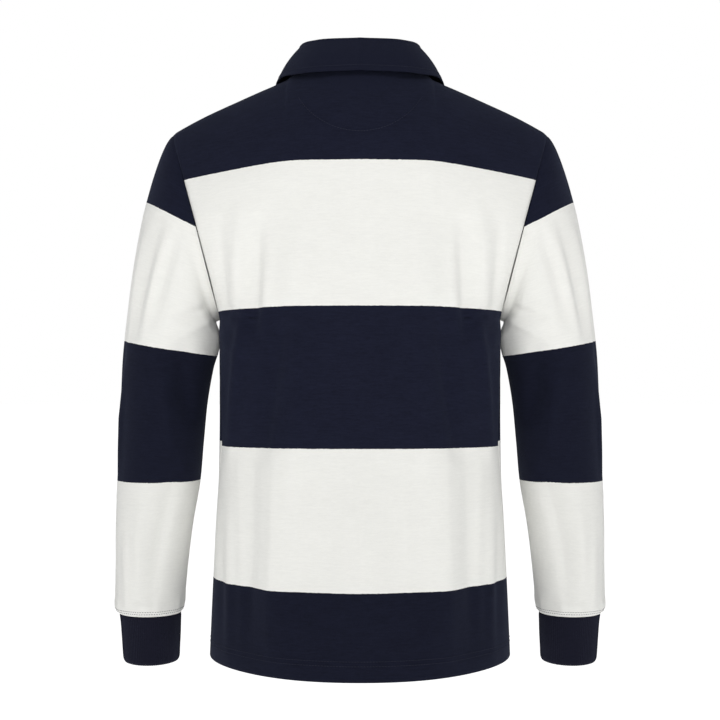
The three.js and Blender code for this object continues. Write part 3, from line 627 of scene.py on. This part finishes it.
def placket_grid(lift):
    """A strip along the slit."""
    wide = SLIT_HALF_WIDTH + PLACKET_OVERLAP
    z = np.linspace(PLACKET_BOTTOM, PLACKET_TOP, PLACKET_LENGTH_CELLS + 1)[:, None]
    x = np.linspace(wide, -wide, PLACKET_WIDTH_CELLS + 1)[None, :]
    return strip_on_chest("front", x, z, lift)


# ---- meshes and shells of cloth


def placed(name, data):
    """A new object in the scene."""
    made = bpy.data.objects.new(name, data)
    bpy.context.collection.objects.link(made)
    return made


def mesh_object(name, vertices, edges=(), faces=()):
    """A mesh from points in millimetres."""
    data = bpy.data.meshes.new(name)
    data.from_pydata((np.asarray(vertices) * MM).tolist(), edges, faces)
    return placed(name, data)


def baked(piece, modifier):
    """Gives a piece the mesh that its modifier makes, and takes the modifier away."""
    made = bpy.data.meshes.new_from_object(piece.evaluated_get(bpy.context.evaluated_depsgraph_get()))
    piece.modifiers.remove(modifier)
    piece.data = made


class Shell:
    """Collects the faces of a closed shell under a grid and turns them into a mesh object."""

    ROLL_CELLS = 4  # cells round a folded or turned edge

    def __init__(self, grid, thickness, joined=False, slit=None):
        points, pattern = grid
        self.rows, self.columns = points.shape[:2]
        self.joined = joined
        self.points, self.inner = points, pushed_out(points, -thickness, joined)
        self.vertices = [self.points.reshape(-1, 3), self.inner.reshape(-1, 3)]
        self.count = 2 * self.rows * self.columns
        self.faces, self.corners = [], []
        self.slit = slit
        self.kept = np.ones((self.rows - 1, self.columns if joined else self.columns - 1), bool)
        if slit:
            low_row, left, right = slit
            self.kept[low_row:, left:right] = False
        round_trip = pattern[:, -1:] * 2 - pattern[:, -2:-1]
        self.pattern = np.concatenate([pattern, round_trip], axis=1)
        row, column = np.nonzero(self.kept)
        rows = np.stack([row, row + 1, row + 1, row], axis=1)
        columns = np.stack([column, column, column + 1, column + 1], axis=1)
        places = self.pattern[rows, columns]
        self.add_faces(self.number(rows, columns, 0), places)
        self.add_faces(self.number(rows, columns, 1)[:, ::-1], places[:, ::-1])

    def number(self, row, column, layer):
        return (layer * self.rows + row) * self.columns + column % self.columns

    def add_faces(self, numbers, places):
        self.faces.append(numbers)
        self.corners.append(places)

    def rim(self, rows, columns, towards, rolled):
        """Closes the shell along a run of border points. towards is how far each lies from its neighbour."""
        cells = self.ROLL_CELLS if rolled else 1
        outer, inner = self.points[rows, columns % self.columns], self.inner[rows, columns % self.columns]
        middle, half = (outer + inner) / 2, (outer - inner) / 2
        layers = [self.number(rows, columns, 0)]
        out = unit(towards) * np.linalg.norm(half, axis=1, keepdims=True)
        for k in range(1, cells):
            turn = math.pi * k / cells
            self.vertices.append(middle + half * math.cos(turn) + out * math.sin(turn))
            layers.append(self.count + np.arange(len(rows)))
            self.count += len(rows)
        layers.append(self.number(rows, columns, 1))
        places = self.pattern[rows, columns]
        strip = np.stack([places[:-1], places[1:], places[1:], places[:-1]], axis=1)
        for upper, lower in zip(layers[:-1], layers[1:]):
            numbers = np.stack([upper[:-1], upper[1:], lower[1:], lower[:-1]], axis=1)
            self.add_faces(numbers[:, ::-1], strip[:, ::-1])
        if rolled and not self.joined:
            for end, step in ((0, 1), (-1, -1)):
                profile = np.array([[layer[end] for layer in layers][::step]])
                self.add_faces(profile, np.broadcast_to(places[end], (1, len(layers), 2)))

    def close(self, rolled=()):
        """Closes all borders. rolled names those that are a fold or a turned edge: low, high, left, right."""
        across, up = np.arange(self.columns + self.joined), np.arange(self.rows)
        last_row, last_column = self.rows - 1, self.columns - 1
        borders = [("high", across * 0 + last_row, across, -1, 0), ("low", across * 0, across[::-1], 1, 0)]
        if not self.joined:
            borders += [("left", up, up * 0, 0, 1), ("right", up[::-1], up * 0 + last_column, 0, -1)]
        for name, rows, columns, in_row, in_column in borders:
            column = columns % self.columns
            towards = self.points[rows, column] - self.points[rows + in_row, column + in_column]
            self.close_run(rows, columns, towards, name in rolled)
        if self.slit:
            self.close_slit(*self.slit)
        return self

    def close_run(self, rows, columns, towards, rolled):
        """Closes the parts of a border run that have cloth beside them."""
        if self.kept.all():
            self.rim(rows, columns, towards, rolled)
            return
        cell_row = np.minimum(np.minimum(rows[:-1], rows[1:]), self.rows - 2)
        cell_column = np.minimum(np.minimum(columns[:-1], columns[1:]), self.columns - 2)
        for k in np.nonzero(self.kept[cell_row, cell_column])[0]:
            self.rim(rows[k:k + 2], columns[k:k + 2], towards[k:k + 2], False)

    def close_slit(self, low_row, left, right):
        """Closes the shell along the two sides and the bottom of a slit that runs to the top."""
        up, across = np.arange(low_row, self.rows), np.arange(left, right + 1)
        sides = (up, up * 0 + right), (up[::-1], up * 0 + left)
        for rows, columns in (*sides, (across * 0 + low_row, across)):
            self.rim(rows, columns, np.ones((len(rows), 3)), False)

    def mesh(self, name, finish):
        faces = [face for group in self.faces for face in group.tolist()]
        piece = mesh_object(name, np.concatenate(self.vertices), faces=faces)
        places = np.concatenate([group.reshape(-1, 2) for group in self.corners]) * MM
        piece.data.uv_layers.new(name=PATTERN).data.foreach_set("uv", places.astype(np.float32).ravel())
        piece.data.shade_smooth()
        piece.data.materials.append(finish)
        return piece


# ---- finishes

NAVY = (0.0090, 0.0105, 0.0230)
NAVY_RIB = (0.0080, 0.0082, 0.0165)
NAVY_TWILL = (0.0085, 0.0098, 0.0215)
CREAM = (0.850, 0.848, 0.812)
THREAD = (0.0180, 0.0205, 0.0370)
BUTTON_NAVY = (0.0150, 0.0180, 0.0340)
BLACK, WHITE = (0, 0, 0, 1), (1, 1, 1, 1)
# Painted shade: each hoop's colour is multiplied by its share, darkening chiefly the lower hoops of the body
# and sleeves, where the light falls off.
BODY_PAINTED_SHADE = (1.0, 1.0, 1.0, 0.98, 0.8)  # of the hoops, from the shoulders down
SLEEVE_PAINTED_SHADE = (0.95, 1.0, 0.82, 0.94)
CLOTH_SURFACE = {
    "Roughness": 0.95, "Specular IOR Level": 0.08,
    "Sheen Weight": 0.05, "Sheen Roughness": 0.5, "Sheen Tint": (0.55, 0.65, 1.0, 1),
}
# Wales and courses in a metre, and how deep the relief is in metres.
JERSEY_KNIT, RIB_KNIT, TWILL_WEAVE = (780, 950, 0.00006), (400, 600, 0.00012), (1300, 1300, 0.00005)

# The yarn's fuzz, and its streaks along the courses: how fine they are across and up, and how strong.
FUZZ_SCALE, FUZZ_DETAIL, FUZZ_SHARE = 1400, 2.0, 0.25
YARN_STREAKS = ((180, 900, 0.3), (60, 420, 0.3), (22, 60, 0.15))
EDGE_SCALE, EDGE_WANDER = 420, 0.0012  # of the line where two hoops meet
GRAIN_SCALE, GRAIN_SHARE = 900, 3.0
SWIRL_SCALE, SWIRL_DETAIL = 260, 4.0
NAVY_SPREAD, CREAM_SPREAD = (0.1, 1.9), (0.86, 1.12)  # how far a colour varies, in shares of itself
PLAIN_SPREAD, BUTTON_SPREAD = (0.8, 1.2), (0.8, 1.5)


def feed(tree, socket, value):
    """Links an output to a socket, or gives the socket a plain value."""
    if isinstance(value, bpy.types.NodeSocket):
        tree.links.new(value, socket)
    elif value is not None:
        socket.default_value = value


def add_node(tree, kind, inputs=None, **settings):
    """A new node with its settings, and with a value or a link at each of the inputs given."""
    node = tree.nodes.new(kind)
    for name, value in settings.items():
        setattr(node, name, value)
    for name, value in (inputs or {}).items():
        feed(tree, node.inputs[name], value)
    return node


class Finish:
    """A material built node by node."""

    def __init__(self, name):
        self.material = bpy.data.materials.new(name)
        self.material.use_nodes = True
        self.tree = self.material.node_tree
        self.shader = self.tree.nodes["Principled BSDF"]

    def node(self, kind, inputs=None, **settings):
        return add_node(self.tree, f"ShaderNode{kind}", inputs, **settings)

    def surface(self, values):
        """Gives the shader's inputs values or links."""
        for name, value in values.items():
            feed(self.tree, self.shader.inputs[name], value)
        return self.material

    def pattern(self):
        """Across and up the knitting, in metres."""
        split = self.node("SeparateXYZ", {0: self.node("UVMap", uv_map=PATTERN).outputs[0]})
        return split.outputs["X"], split.outputs["Y"]

    def noise(self, scale, detail=3.0, place=None):
        if place is None:
            place = self.node("TexCoord").outputs["Object"]
        return self.node("TexNoise", {"Vector": place, "Scale": scale, "Detail": detail}).outputs["Fac"]

    def streaks(self, across_scale, up_scale):
        """Uneven yarn: noise drawn out along the courses of the knitting."""
        across, up = self.pattern()
        place = {"X": self.math("MULTIPLY", across, across_scale), "Y": self.math("MULTIPLY", up, up_scale)}
        return self.noise(1.0, 2.0, self.node("CombineXYZ", place).outputs[0])

    def math(self, operation, first, second=None):
        return self.node("Math", {0: first, 1: second}, operation=operation).outputs[0]

    def mixed(self, share, first, second):
        """A colour between two colours. Each is a colour or an output."""
        return self.node("Mix", {"Factor": share, 6: first, 7: second}, data_type="RGBA").outputs[2]

    def speckled(self, share, colour, spread):
        """A colour that varies between two shares of itself."""
        dark, light = ((*(channel * level for channel in colour), 1) for level in spread)
        return self.mixed(share, dark, light)


def as_cloth(finish, colour, wales, courses, depth):
    """Gives a finish the colour, the soft surface and the relief of knitted or woven cloth."""
    across, up = finish.pattern()
    ribs = finish.math("SINE", finish.math("MULTIPLY", across, 2 * math.pi * wales))
    loops = finish.math("SINE", finish.math("MULTIPLY", up, 2 * math.pi * courses))
    grain = finish.math("MULTIPLY", finish.noise(GRAIN_SCALE), GRAIN_SHARE)
    relief = finish.math("ADD", finish.math("ADD", ribs, loops), grain)
    bump = finish.node("Bump", {"Height": relief, "Strength": 1.0, "Distance": depth}).outputs[0]
    return finish.surface({"Base Color": colour, "Normal": bump, **CLOTH_SURFACE})


def jersey(name, changes, painted_shades):
    """Jersey in navy and cream hoops that change at the given knit heights, each darkened by its own painted
    shade.
    """
    finish = Finish(name)
    _, up = finish.pattern()
    wander = finish.math("SUBTRACT", finish.noise(EDGE_SCALE), 0.5)
    height = finish.math("ADD", up, finish.math("MULTIPLY", wander, EDGE_WANDER))
    yarn = finish.math("MULTIPLY", finish.noise(FUZZ_SCALE, FUZZ_DETAIL), FUZZ_SHARE)
    for across_scale, up_scale, share in YARN_STREAKS:
        streaks = finish.math("MULTIPLY", finish.streaks(across_scale, up_scale), share)
        yarn = finish.math("ADD", yarn, streaks)
    navy = finish.speckled(yarn, NAVY, NAVY_SPREAD)
    cream = finish.speckled(yarn, CREAM, CREAM_SPREAD)
    # Painted shade: the colour is darkened hoop by hoop, most in the lower hoops, standing in for light that
    # falls off lower down.
    is_cream, painted_shade = 0.0, painted_shades[0]
    for k, change in enumerate(changes):
        below = finish.math("LESS_THAN", height, change * MM)
        is_cream = finish.math("ADD" if k % 2 == 0 else "SUBTRACT", is_cream, below)
        painted_shade = finish.math("ADD", painted_shade, finish.math("MULTIPLY", below, painted_shades[k + 1] - painted_shades[k]))
    hooped = finish.mixed(is_cream, navy, cream)
    return as_cloth(finish, finish.mixed(painted_shade, BLACK, hooped), *JERSEY_KNIT)


def plain_cloth(name, colour, knit):
    finish = Finish(name)
    fuzz = finish.noise(FUZZ_SCALE, FUZZ_DETAIL)
    return as_cloth(finish, finish.speckled(fuzz, colour, PLAIN_SPREAD), *knit)


def button_plastic():
    finish = Finish("button_plastic")
    colour = finish.speckled(finish.noise(SWIRL_SCALE, SWIRL_DETAIL), BUTTON_NAVY, BUTTON_SPREAD)
    return finish.surface({"Base Color": colour, "Roughness": 0.3, "Specular IOR Level": 0.5})


def sewing_thread():
    surface = {"Base Color": (*THREAD, 1), "Roughness": 0.7, "Specular IOR Level": 0.2}
    return Finish("navy_thread").surface(surface)


# ---- the cloth pieces


def finished(piece, node):
    """A piece that rides with the garment, and that stands for a solid where node names one."""
    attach(piece, "root")
    if node:
        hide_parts(node)
    return piece


def row_at(grid, z):
    """The row of a grid, as a fraction, whose middle point is at a height."""
    heights = grid[0][:, grid[0].shape[1] // 2, 2]
    return float(np.interp(z, heights, np.arange(len(heights))))


def make_cloth(name, grid, thickness, finish, node, rolled=(), joined=False, slit=None):
    shell = Shell(grid, thickness, joined, slit).close(rolled)
    return finished(shell.mesh(name, finish), node)


def make_panel(side, grid, finish):
    thickness = np.where(grid[0][..., 2] < HEM_Z + HEM_DEPTH, HEM_TURNED, JERSEY)
    slit = None
    if side == "front":
        half = round(HALF_PANEL_CELLS / PANEL_COLUMNS)
        low_row = round(row_at(grid, PLACKET_BOTTOM))
        slit = (low_row, HALF_PANEL_CELLS - half, HALF_PANEL_CELLS + half)
    return make_cloth(f"{side}_cloth", grid, thickness, finish, side, ("low",), slit=slit)


# ---- buttons

BUTTON_HOLES_AT, BUTTON_HOLE = 1.9, 0.8
BUTTON_LIFT = PLACKET_CLOTH + 3 * SEAM_GAP + 0.4  # of a button's back over the front's cloth
BUTTON_SPOKES, DRILL_SPOKES, SMOOTH_BELOW = 72, 24, 40
BUTTON_PROFILE = table(  # from the middle of the face over the rim to the middle of the back
    "radius height",
    (0, 1.6), (2.6, 1.6), (3.3, 1.75), (3.9, 2.25), (4.6, 2.4), (5.3, 2.3), (5.8, 1.9),
    (6, 1.3), (5.85, 0.7), (5.3, 0.2), (4.4, 0), (0, 0),
)
DRILL_PROFILE = table("radius height", (0, 4), (BUTTON_HOLE, 4), (BUTTON_HOLE, -2), (0, -2))
THREAD_SPREAD, THREAD_END, THREAD_LOW, THREAD_HIGH = 0.22, 0.3, 1.0, 1.85
BUTTONHOLE_HALF, BUTTONHOLE_DEPTH, BUTTONHOLE_ROWS = 8.5, -0.75, (-0.9, -0.45, 0.45, 0.9)


def button_frame(height):
    """The middle of a button's back and its right, up and out directions."""
    steps = np.array([0, BUTTON_RADIUS, -BUTTON_RADIUS])
    at, above, below = chest_at("front", 0, height + steps)
    up = unit(above - below)
    out = np.array([0, -up[2], up[1]])
    return at + out * BUTTON_LIFT, np.stack([np.cross(up, out), up, out])


def turned(profile, spokes):
    """A closed round body with the given profile, standing on the origin."""
    around = 2 * math.pi * np.arange(spokes) / spokes
    radius, height = profile["radius"][1:-1], profile["height"][1:-1]
    rings = len(radius)
    vertices = [(r * math.cos(a), r * math.sin(a), h) for r, h in zip(radius, height) for a in around]
    vertices += [(0, 0, profile["height"][0]), (0, 0, profile["height"][-1])]
    top, bottom, last = rings * spokes, rings * spokes + 1, (rings - 1) * spokes
    faces = []
    for k in range(spokes):
        after = (k + 1) % spokes
        faces += [(top, k, after), (bottom, last + after, last + k)]
        for ring in range(rings - 1):
            low, high = ring * spokes, (ring + 1) * spokes
            faces.append((low + k, high + k, high + after, low + after))
    return np.array(vertices), faces


def make_button(number, height, plastic):
    """A sew-through button with a rim and four holes."""
    place, axes = button_frame(height)
    vertices, faces = turned(BUTTON_PROFILE, BUTTON_SPOKES)
    button = mesh_object(f"button_{number}_plastic", vertices @ axes + place, faces=faces)
    drill_points, drill_faces = turned(DRILL_PROFILE, DRILL_SPOKES)
    for quarter in range(4):
        angle = math.pi / 4 + quarter * math.pi / 2
        shift = np.array([math.cos(angle), math.sin(angle), 0]) * BUTTON_HOLES_AT
        cutter = mesh_object("cutter", (drill_points + shift) @ axes + place, faces=drill_faces)
        cut = button.modifiers.new("hole", "BOOLEAN")
        cut.operation, cut.solver, cut.object = "DIFFERENCE", "EXACT", cutter
        baked(button, cut)
        bpy.data.objects.remove(cutter)
    button.data.name = button.name
    button.data.materials.clear()
    button.data.materials.append(plastic)
    button.data.shade_smooth()
    button.data.set_sharp_from_angle(angle=math.radians(SMOOTH_BELOW))
    return finished(button, f"button_{number}")


def button_thread_lines():
    """Threads that cross between the holes of each button, and the two sides of its buttonhole."""
    across = BUTTON_HOLES_AT / math.sqrt(2)
    crossing = [(-across - THREAD_END, THREAD_LOW), (-across + THREAD_END, THREAD_HIGH),
                (across - THREAD_END, THREAD_HIGH), (across + THREAD_END, THREAD_LOW)]
    threads, holes = [], []
    for height in BUTTON_HEIGHTS:
        place, axes = button_frame(height)
        for x in (-across, across):
            for spread in (-THREAD_SPREAD, THREAD_SPREAD):
                threads.append(np.array([(x + spread, y, out) for y, out in crossing]) @ axes + place)
        for x in BUTTONHOLE_ROWS:
            y = np.linspace(-BUTTONHOLE_HALF, BUTTONHOLE_HALF, 40)
            holes.append(points_of(x, y, BUTTONHOLE_DEPTH) @ axes + place)
    return threads, holes


# ---- sewing

STITCH_GAP, STITCH_RADIUS, STITCH_LIFT = 0.9, 0.28, 0.15
FINE_GAP, FINE_RADIUS = 0.25, 0.2
HEM_ROWS = (1, 6.4)  # below the upper edge of the turned-up hem
SLEEVE_ROWS = (4.5, 7.5)  # above the cuff's seam
COLLAR_ROW = 3.3  # cells from the leaf's free edge
PLACKET_SIDES, PLACKET_ENDS = (1.2, 14.8), (2, 16)  # cells from the strip's first corner
PATCH_SEWN_ANGLE, PATCH_SEWN_LIFT = 68, 0.25


def stitch_tree():
    """Lays stitches of thread along a line of points."""
    tree = bpy.data.node_groups.new("stitches", "GeometryNodeTree")
    for name, kind in (("Line", "Geometry"), ("Stitch Length", "Float"), ("Gap", "Float"),
                       ("Thread Radius", "Float"), ("Thread", "Material")):
        tree.interface.new_socket(name, in_out="INPUT", socket_type=f"NodeSocket{kind}")
    tree.interface.new_socket("Stitches", in_out="OUTPUT", socket_type="NodeSocketGeometry")

    def node(kind, inputs=None, **settings):
        return add_node(tree, kind, inputs, **settings).outputs[0]

    given = add_node(tree, "NodeGroupInput").outputs
    length, radius = given["Stitch Length"], given["Thread Radius"]
    step = node("ShaderNodeMath", {0: length, 1: given["Gap"]}, operation="ADD")
    half = node("ShaderNodeMath", {0: length, 1: 0.5}, operation="MULTIPLY")
    curve = node("GeometryNodeMeshToCurve", {"Mesh": given["Line"]})
    spaced = node("GeometryNodeResampleCurve", {"Curve": curve, "Length": step}, mode="LENGTH")
    bead = node("GeometryNodeMeshIcoSphere", {"Radius": 1.0, "Subdivisions": 2})
    size = node("ShaderNodeCombineXYZ", {"X": radius, "Y": radius, "Z": half})
    tangent = node("GeometryNodeInputTangent")
    along = node("FunctionNodeAlignRotationToVector", {"Vector": tangent}, axis="Z")
    places = {"Points": spaced, "Instance": bead, "Rotation": along, "Scale": size}
    laid = node("GeometryNodeInstanceOnPoints", places)
    smooth = node("GeometryNodeSetShadeSmooth", {0: node("GeometryNodeRealizeInstances", {0: laid})})
    coloured = node("GeometryNodeSetMaterial", {"Geometry": smooth, "Material": given["Thread"]})
    add_node(tree, "NodeGroupOutput", {0: coloured})
    return tree


def set_inputs(modifier, **values):
    """Sets a modifier's named inputs by their identifiers."""
    for item in modifier.node_group.interface.items_tree:
        name = item.name.replace(" ", "_").lower()
        if item.item_type == "SOCKET" and item.in_out == "INPUT" and name in values:
            modifier[item.identifier] = values[name]


def stitched(name, tree, lines, thread, length, gap, radius):
    """A piece of stitches along lines of points. A line's first and last points may be the same."""
    edges, start = [], 0
    for line in lines:
        edges += [(start + k, start + k + 1) for k in range(len(line) - 1)]
        start += len(line)
    piece = mesh_object(name, np.concatenate(lines), edges)
    modifier = piece.modifiers.new("stitches", "NODES")
    modifier.node_group = tree
    sizes = {"stitch_length": length * MM, "gap": gap * MM, "thread_radius": radius * MM}
    set_inputs(modifier, thread=thread, **sizes)
    baked(piece, modifier)
    piece.data.name = name
    return finished(piece, None)


def line_on(grid, row=None, column=None, joined=False):
    """A line of points along a row or a column of a grid, just proud of the cloth. They may be fractions."""
    points = pushed_out(grid[0], STITCH_LIFT, joined)
    if row is None:
        points, row = points.swapaxes(0, 1), column
    low = int(row)
    line = mix(points[low], points[min(low + 1, len(points) - 1)], row - low)
    return np.concatenate([line, line[:1]]) if joined else line


def neck_patch_outline():
    angle = np.radians(np.linspace(-PATCH_SEWN_ANGLE, PATCH_SEWN_ANGLE, 120))
    line = chest_at("back", PATCH_RADIUS * np.sin(angle), -PATCH_RADIUS * np.cos(angle))
    return line + (0, PATCH_SEWN_LIFT, 0)


def make_sewing(back, front, sleeves, collar, placket):
    """The rows of stitches that hold the hem, the sleeve ends, the collar, the placket and the neck patch."""
    tree, thread = stitch_tree(), sewing_thread()
    last = 2 * HALF_PANEL_CELLS
    hem = [line_on(grid, row=row_at(grid, HEM_Z + HEM_DEPTH - down))[2:last - 1]
           for grid in (back, front) for down in HEM_ROWS]
    ends = [line_on(grid, row=row_at(grid, CUFF_TOP + up), joined=True)
            for grid in sleeves for up in SLEEVE_ROWS]
    leaf = [line_on(collar, row=len(collar[0]) - 1 - COLLAR_ROW)[4:-4]]
    strip = [line_on(placket, column=column)[2:-2] for column in PLACKET_SIDES]
    strip += [line_on(placket, row=row)[1:-1] for row in PLACKET_ENDS]
    for name, lines, length in (
        ("hem_stitches", hem, 2.6), ("sleeve_end_stitches", ends, 2.2), ("collar_stitches", leaf, 2.6),
        ("neck_patch_stitches", [neck_patch_outline()], 2.6), ("placket_stitches", strip, 2.2),
    ):
        stitched(name, tree, lines, thread, length, STITCH_GAP, STITCH_RADIUS)
    threads, holes = button_thread_lines()
    for name, lines, length in (("button_threads", threads, 9), ("buttonhole_stitches", holes, 0.9)):
        stitched(name, tree, lines, thread, length, FINE_GAP, FINE_RADIUS)


# ---- the garment


def make_garment():
    hooped_body = jersey("hooped_jersey_body", BODY_HOOPS, BODY_PAINTED_SHADE)
    hooped_sleeve = jersey("hooped_jersey_sleeve", SLEEVE_HOOPS, SLEEVE_PAINTED_SHADE)
    rib = plain_cloth("navy_rib", NAVY_RIB, RIB_KNIT)
    twill = plain_cloth("navy_twill", NAVY_TWILL, TWILL_WEAVE)
    navy_jersey = plain_cloth("navy_jersey", NAVY, JERSEY_KNIT)

    back, front = panel_grid("back", BACK_FOLDS), panel_grid("front", FRONT_FOLDS)
    sleeve, cuff, collar = sleeve_grid(), cuff_grid(), collar_grid()
    sleeves, cuffs = (sleeve, mirrored(sleeve)), (cuff, mirrored(cuff))
    top, under = placket_grid(PLACKET_CLOTH + SEAM_GAP), placket_grid(-UNDER_STRIP_DEPTH)

    cloth = [make_panel("back", back, hooped_body), make_panel("front", front, hooped_body)]
    for side, sleeve, cuff in zip(("left", "right"), sleeves, cuffs):
        arm, wrist = f"sleeve_{side}", f"cuff_{side}"
        cloth += [
            make_cloth(f"{arm}_cloth", sleeve, JERSEY, hooped_sleeve, arm, joined=True),
            make_cloth(f"{wrist}_rib", cuff, CUFF_CLOTH, rib, wrist, ("low",), joined=True),
        ]
    for name, grid, thickness, finish, node, slot in (
        ("collar_twill", collar, COLLAR_CLOTH, twill, "collar", "twill"),
        ("neck_patch_cloth", patch_grid(), PATCH_CLOTH, navy_jersey, "neck_patch", "jersey_navy"),
        ("placket_top_strip", top, PLACKET_CLOTH, twill, "placket_top", "twill"),
        ("placket_under_strip", under, PLACKET_CLOTH, twill, "placket_under", "twill"),
    ):
        cloth.append(make_cloth(name, grid, thickness, finish, node, ("low", "high", "left", "right")))
    plastic = button_plastic()
    for number, height in enumerate(BUTTON_HEIGHTS, 1):
        make_button(number, height, plastic)
    make_sewing(back, front, sleeves, collar, top)


# ---- the studio

# The camera's and the lights' places are in metres.
CAMERA_PLACE, CAMERA_LENS, CAMERA_SENSOR = (0, 1.6, -0.35), 64, 36
FLOOR_Z, FLOOR_REACH, FLOOR_WHITE = -1450, 30000, 0.8
SOFT_LIGHT = 0.38  # what the white surroundings give, in shares of full white
LIGHTS = (  # each one's place, what it points at, width and power
    ("key", (0, 2.4, 1.6), (0, 0, -0.3), 1.0, 22),
    ("fill", (0, 2.6, -0.5), (0, 0, -0.4), 1.4, 8),
    ("left_light", (2.6, 1.2, 0.2), (0, 0, -0.35), 1.0, 1.5),
    ("right_light", (-2.6, 1.2, 0.2), (0, 0, -0.35), 1.0, 1.5),
)


def area_light(name, place, target, size, power):
    data = bpy.data.lights.new(name, "AREA")
    data.shape, data.size, data.energy = "DISK", size, power
    light = placed(name, data)
    light.location = place
    light.rotation_euler = (Vector(target) - Vector(place)).to_track_quat("-Z", "Y").to_euler()


def make_floor():
    corners = [(x, y, FLOOR_Z) for x, y in ((-1, -1), (1, -1), (1, 1), (-1, 1))]
    floor = mesh_object("floor", np.array(corners) * (FLOOR_REACH, FLOOR_REACH, 1), faces=[(0, 1, 2, 3)])
    colour = (FLOOR_WHITE, FLOOR_WHITE, FLOOR_WHITE, 1)
    glow = {"Emission Color": WHITE, "Emission Strength": FLOOR_WHITE}
    surface = {"Base Color": colour, "Roughness": 1.0, "Specular IOR Level": 0.0, **glow}
    floor.data.materials.append(Finish("pale_floor").surface(surface))


def make_surroundings():
    """A world that the camera sees as white, and that lights the garment softly."""
    world = bpy.data.worlds.new("studio")
    world.use_nodes = True
    tree = world.node_tree
    seen = add_node(tree, "ShaderNodeLightPath").outputs["Is Camera Ray"]
    levels = {"Value": seen, "To Min": SOFT_LIGHT, "To Max": 1.0}
    brightness = add_node(tree, "ShaderNodeMapRange", levels).outputs[0]
    around = tree.nodes["Background"]
    around.inputs["Color"].default_value = WHITE
    tree.links.new(brightness, around.inputs["Strength"])
    bpy.context.scene.world = world


def make_camera():
    data = bpy.data.cameras.new("camera")
    data.lens, data.sensor_width = CAMERA_LENS, CAMERA_SENSOR
    camera = placed("camera", data)
    camera.location = CAMERA_PLACE
    camera.rotation_euler = (math.pi / 2, 0, math.pi)
    bpy.context.scene.camera = camera


def make_studio():
    bpy.context.scene.view_settings.view_transform = "Standard"
    make_surroundings()
    make_floor()
    for light in LIGHTS:
        area_light(*light)
    make_camera()


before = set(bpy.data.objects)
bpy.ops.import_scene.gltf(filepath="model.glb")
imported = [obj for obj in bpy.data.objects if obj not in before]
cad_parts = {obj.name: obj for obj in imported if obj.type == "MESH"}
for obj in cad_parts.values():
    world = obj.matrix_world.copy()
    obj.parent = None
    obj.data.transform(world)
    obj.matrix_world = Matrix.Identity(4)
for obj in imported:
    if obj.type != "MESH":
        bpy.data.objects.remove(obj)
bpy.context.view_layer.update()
make_garment()
make_studio()
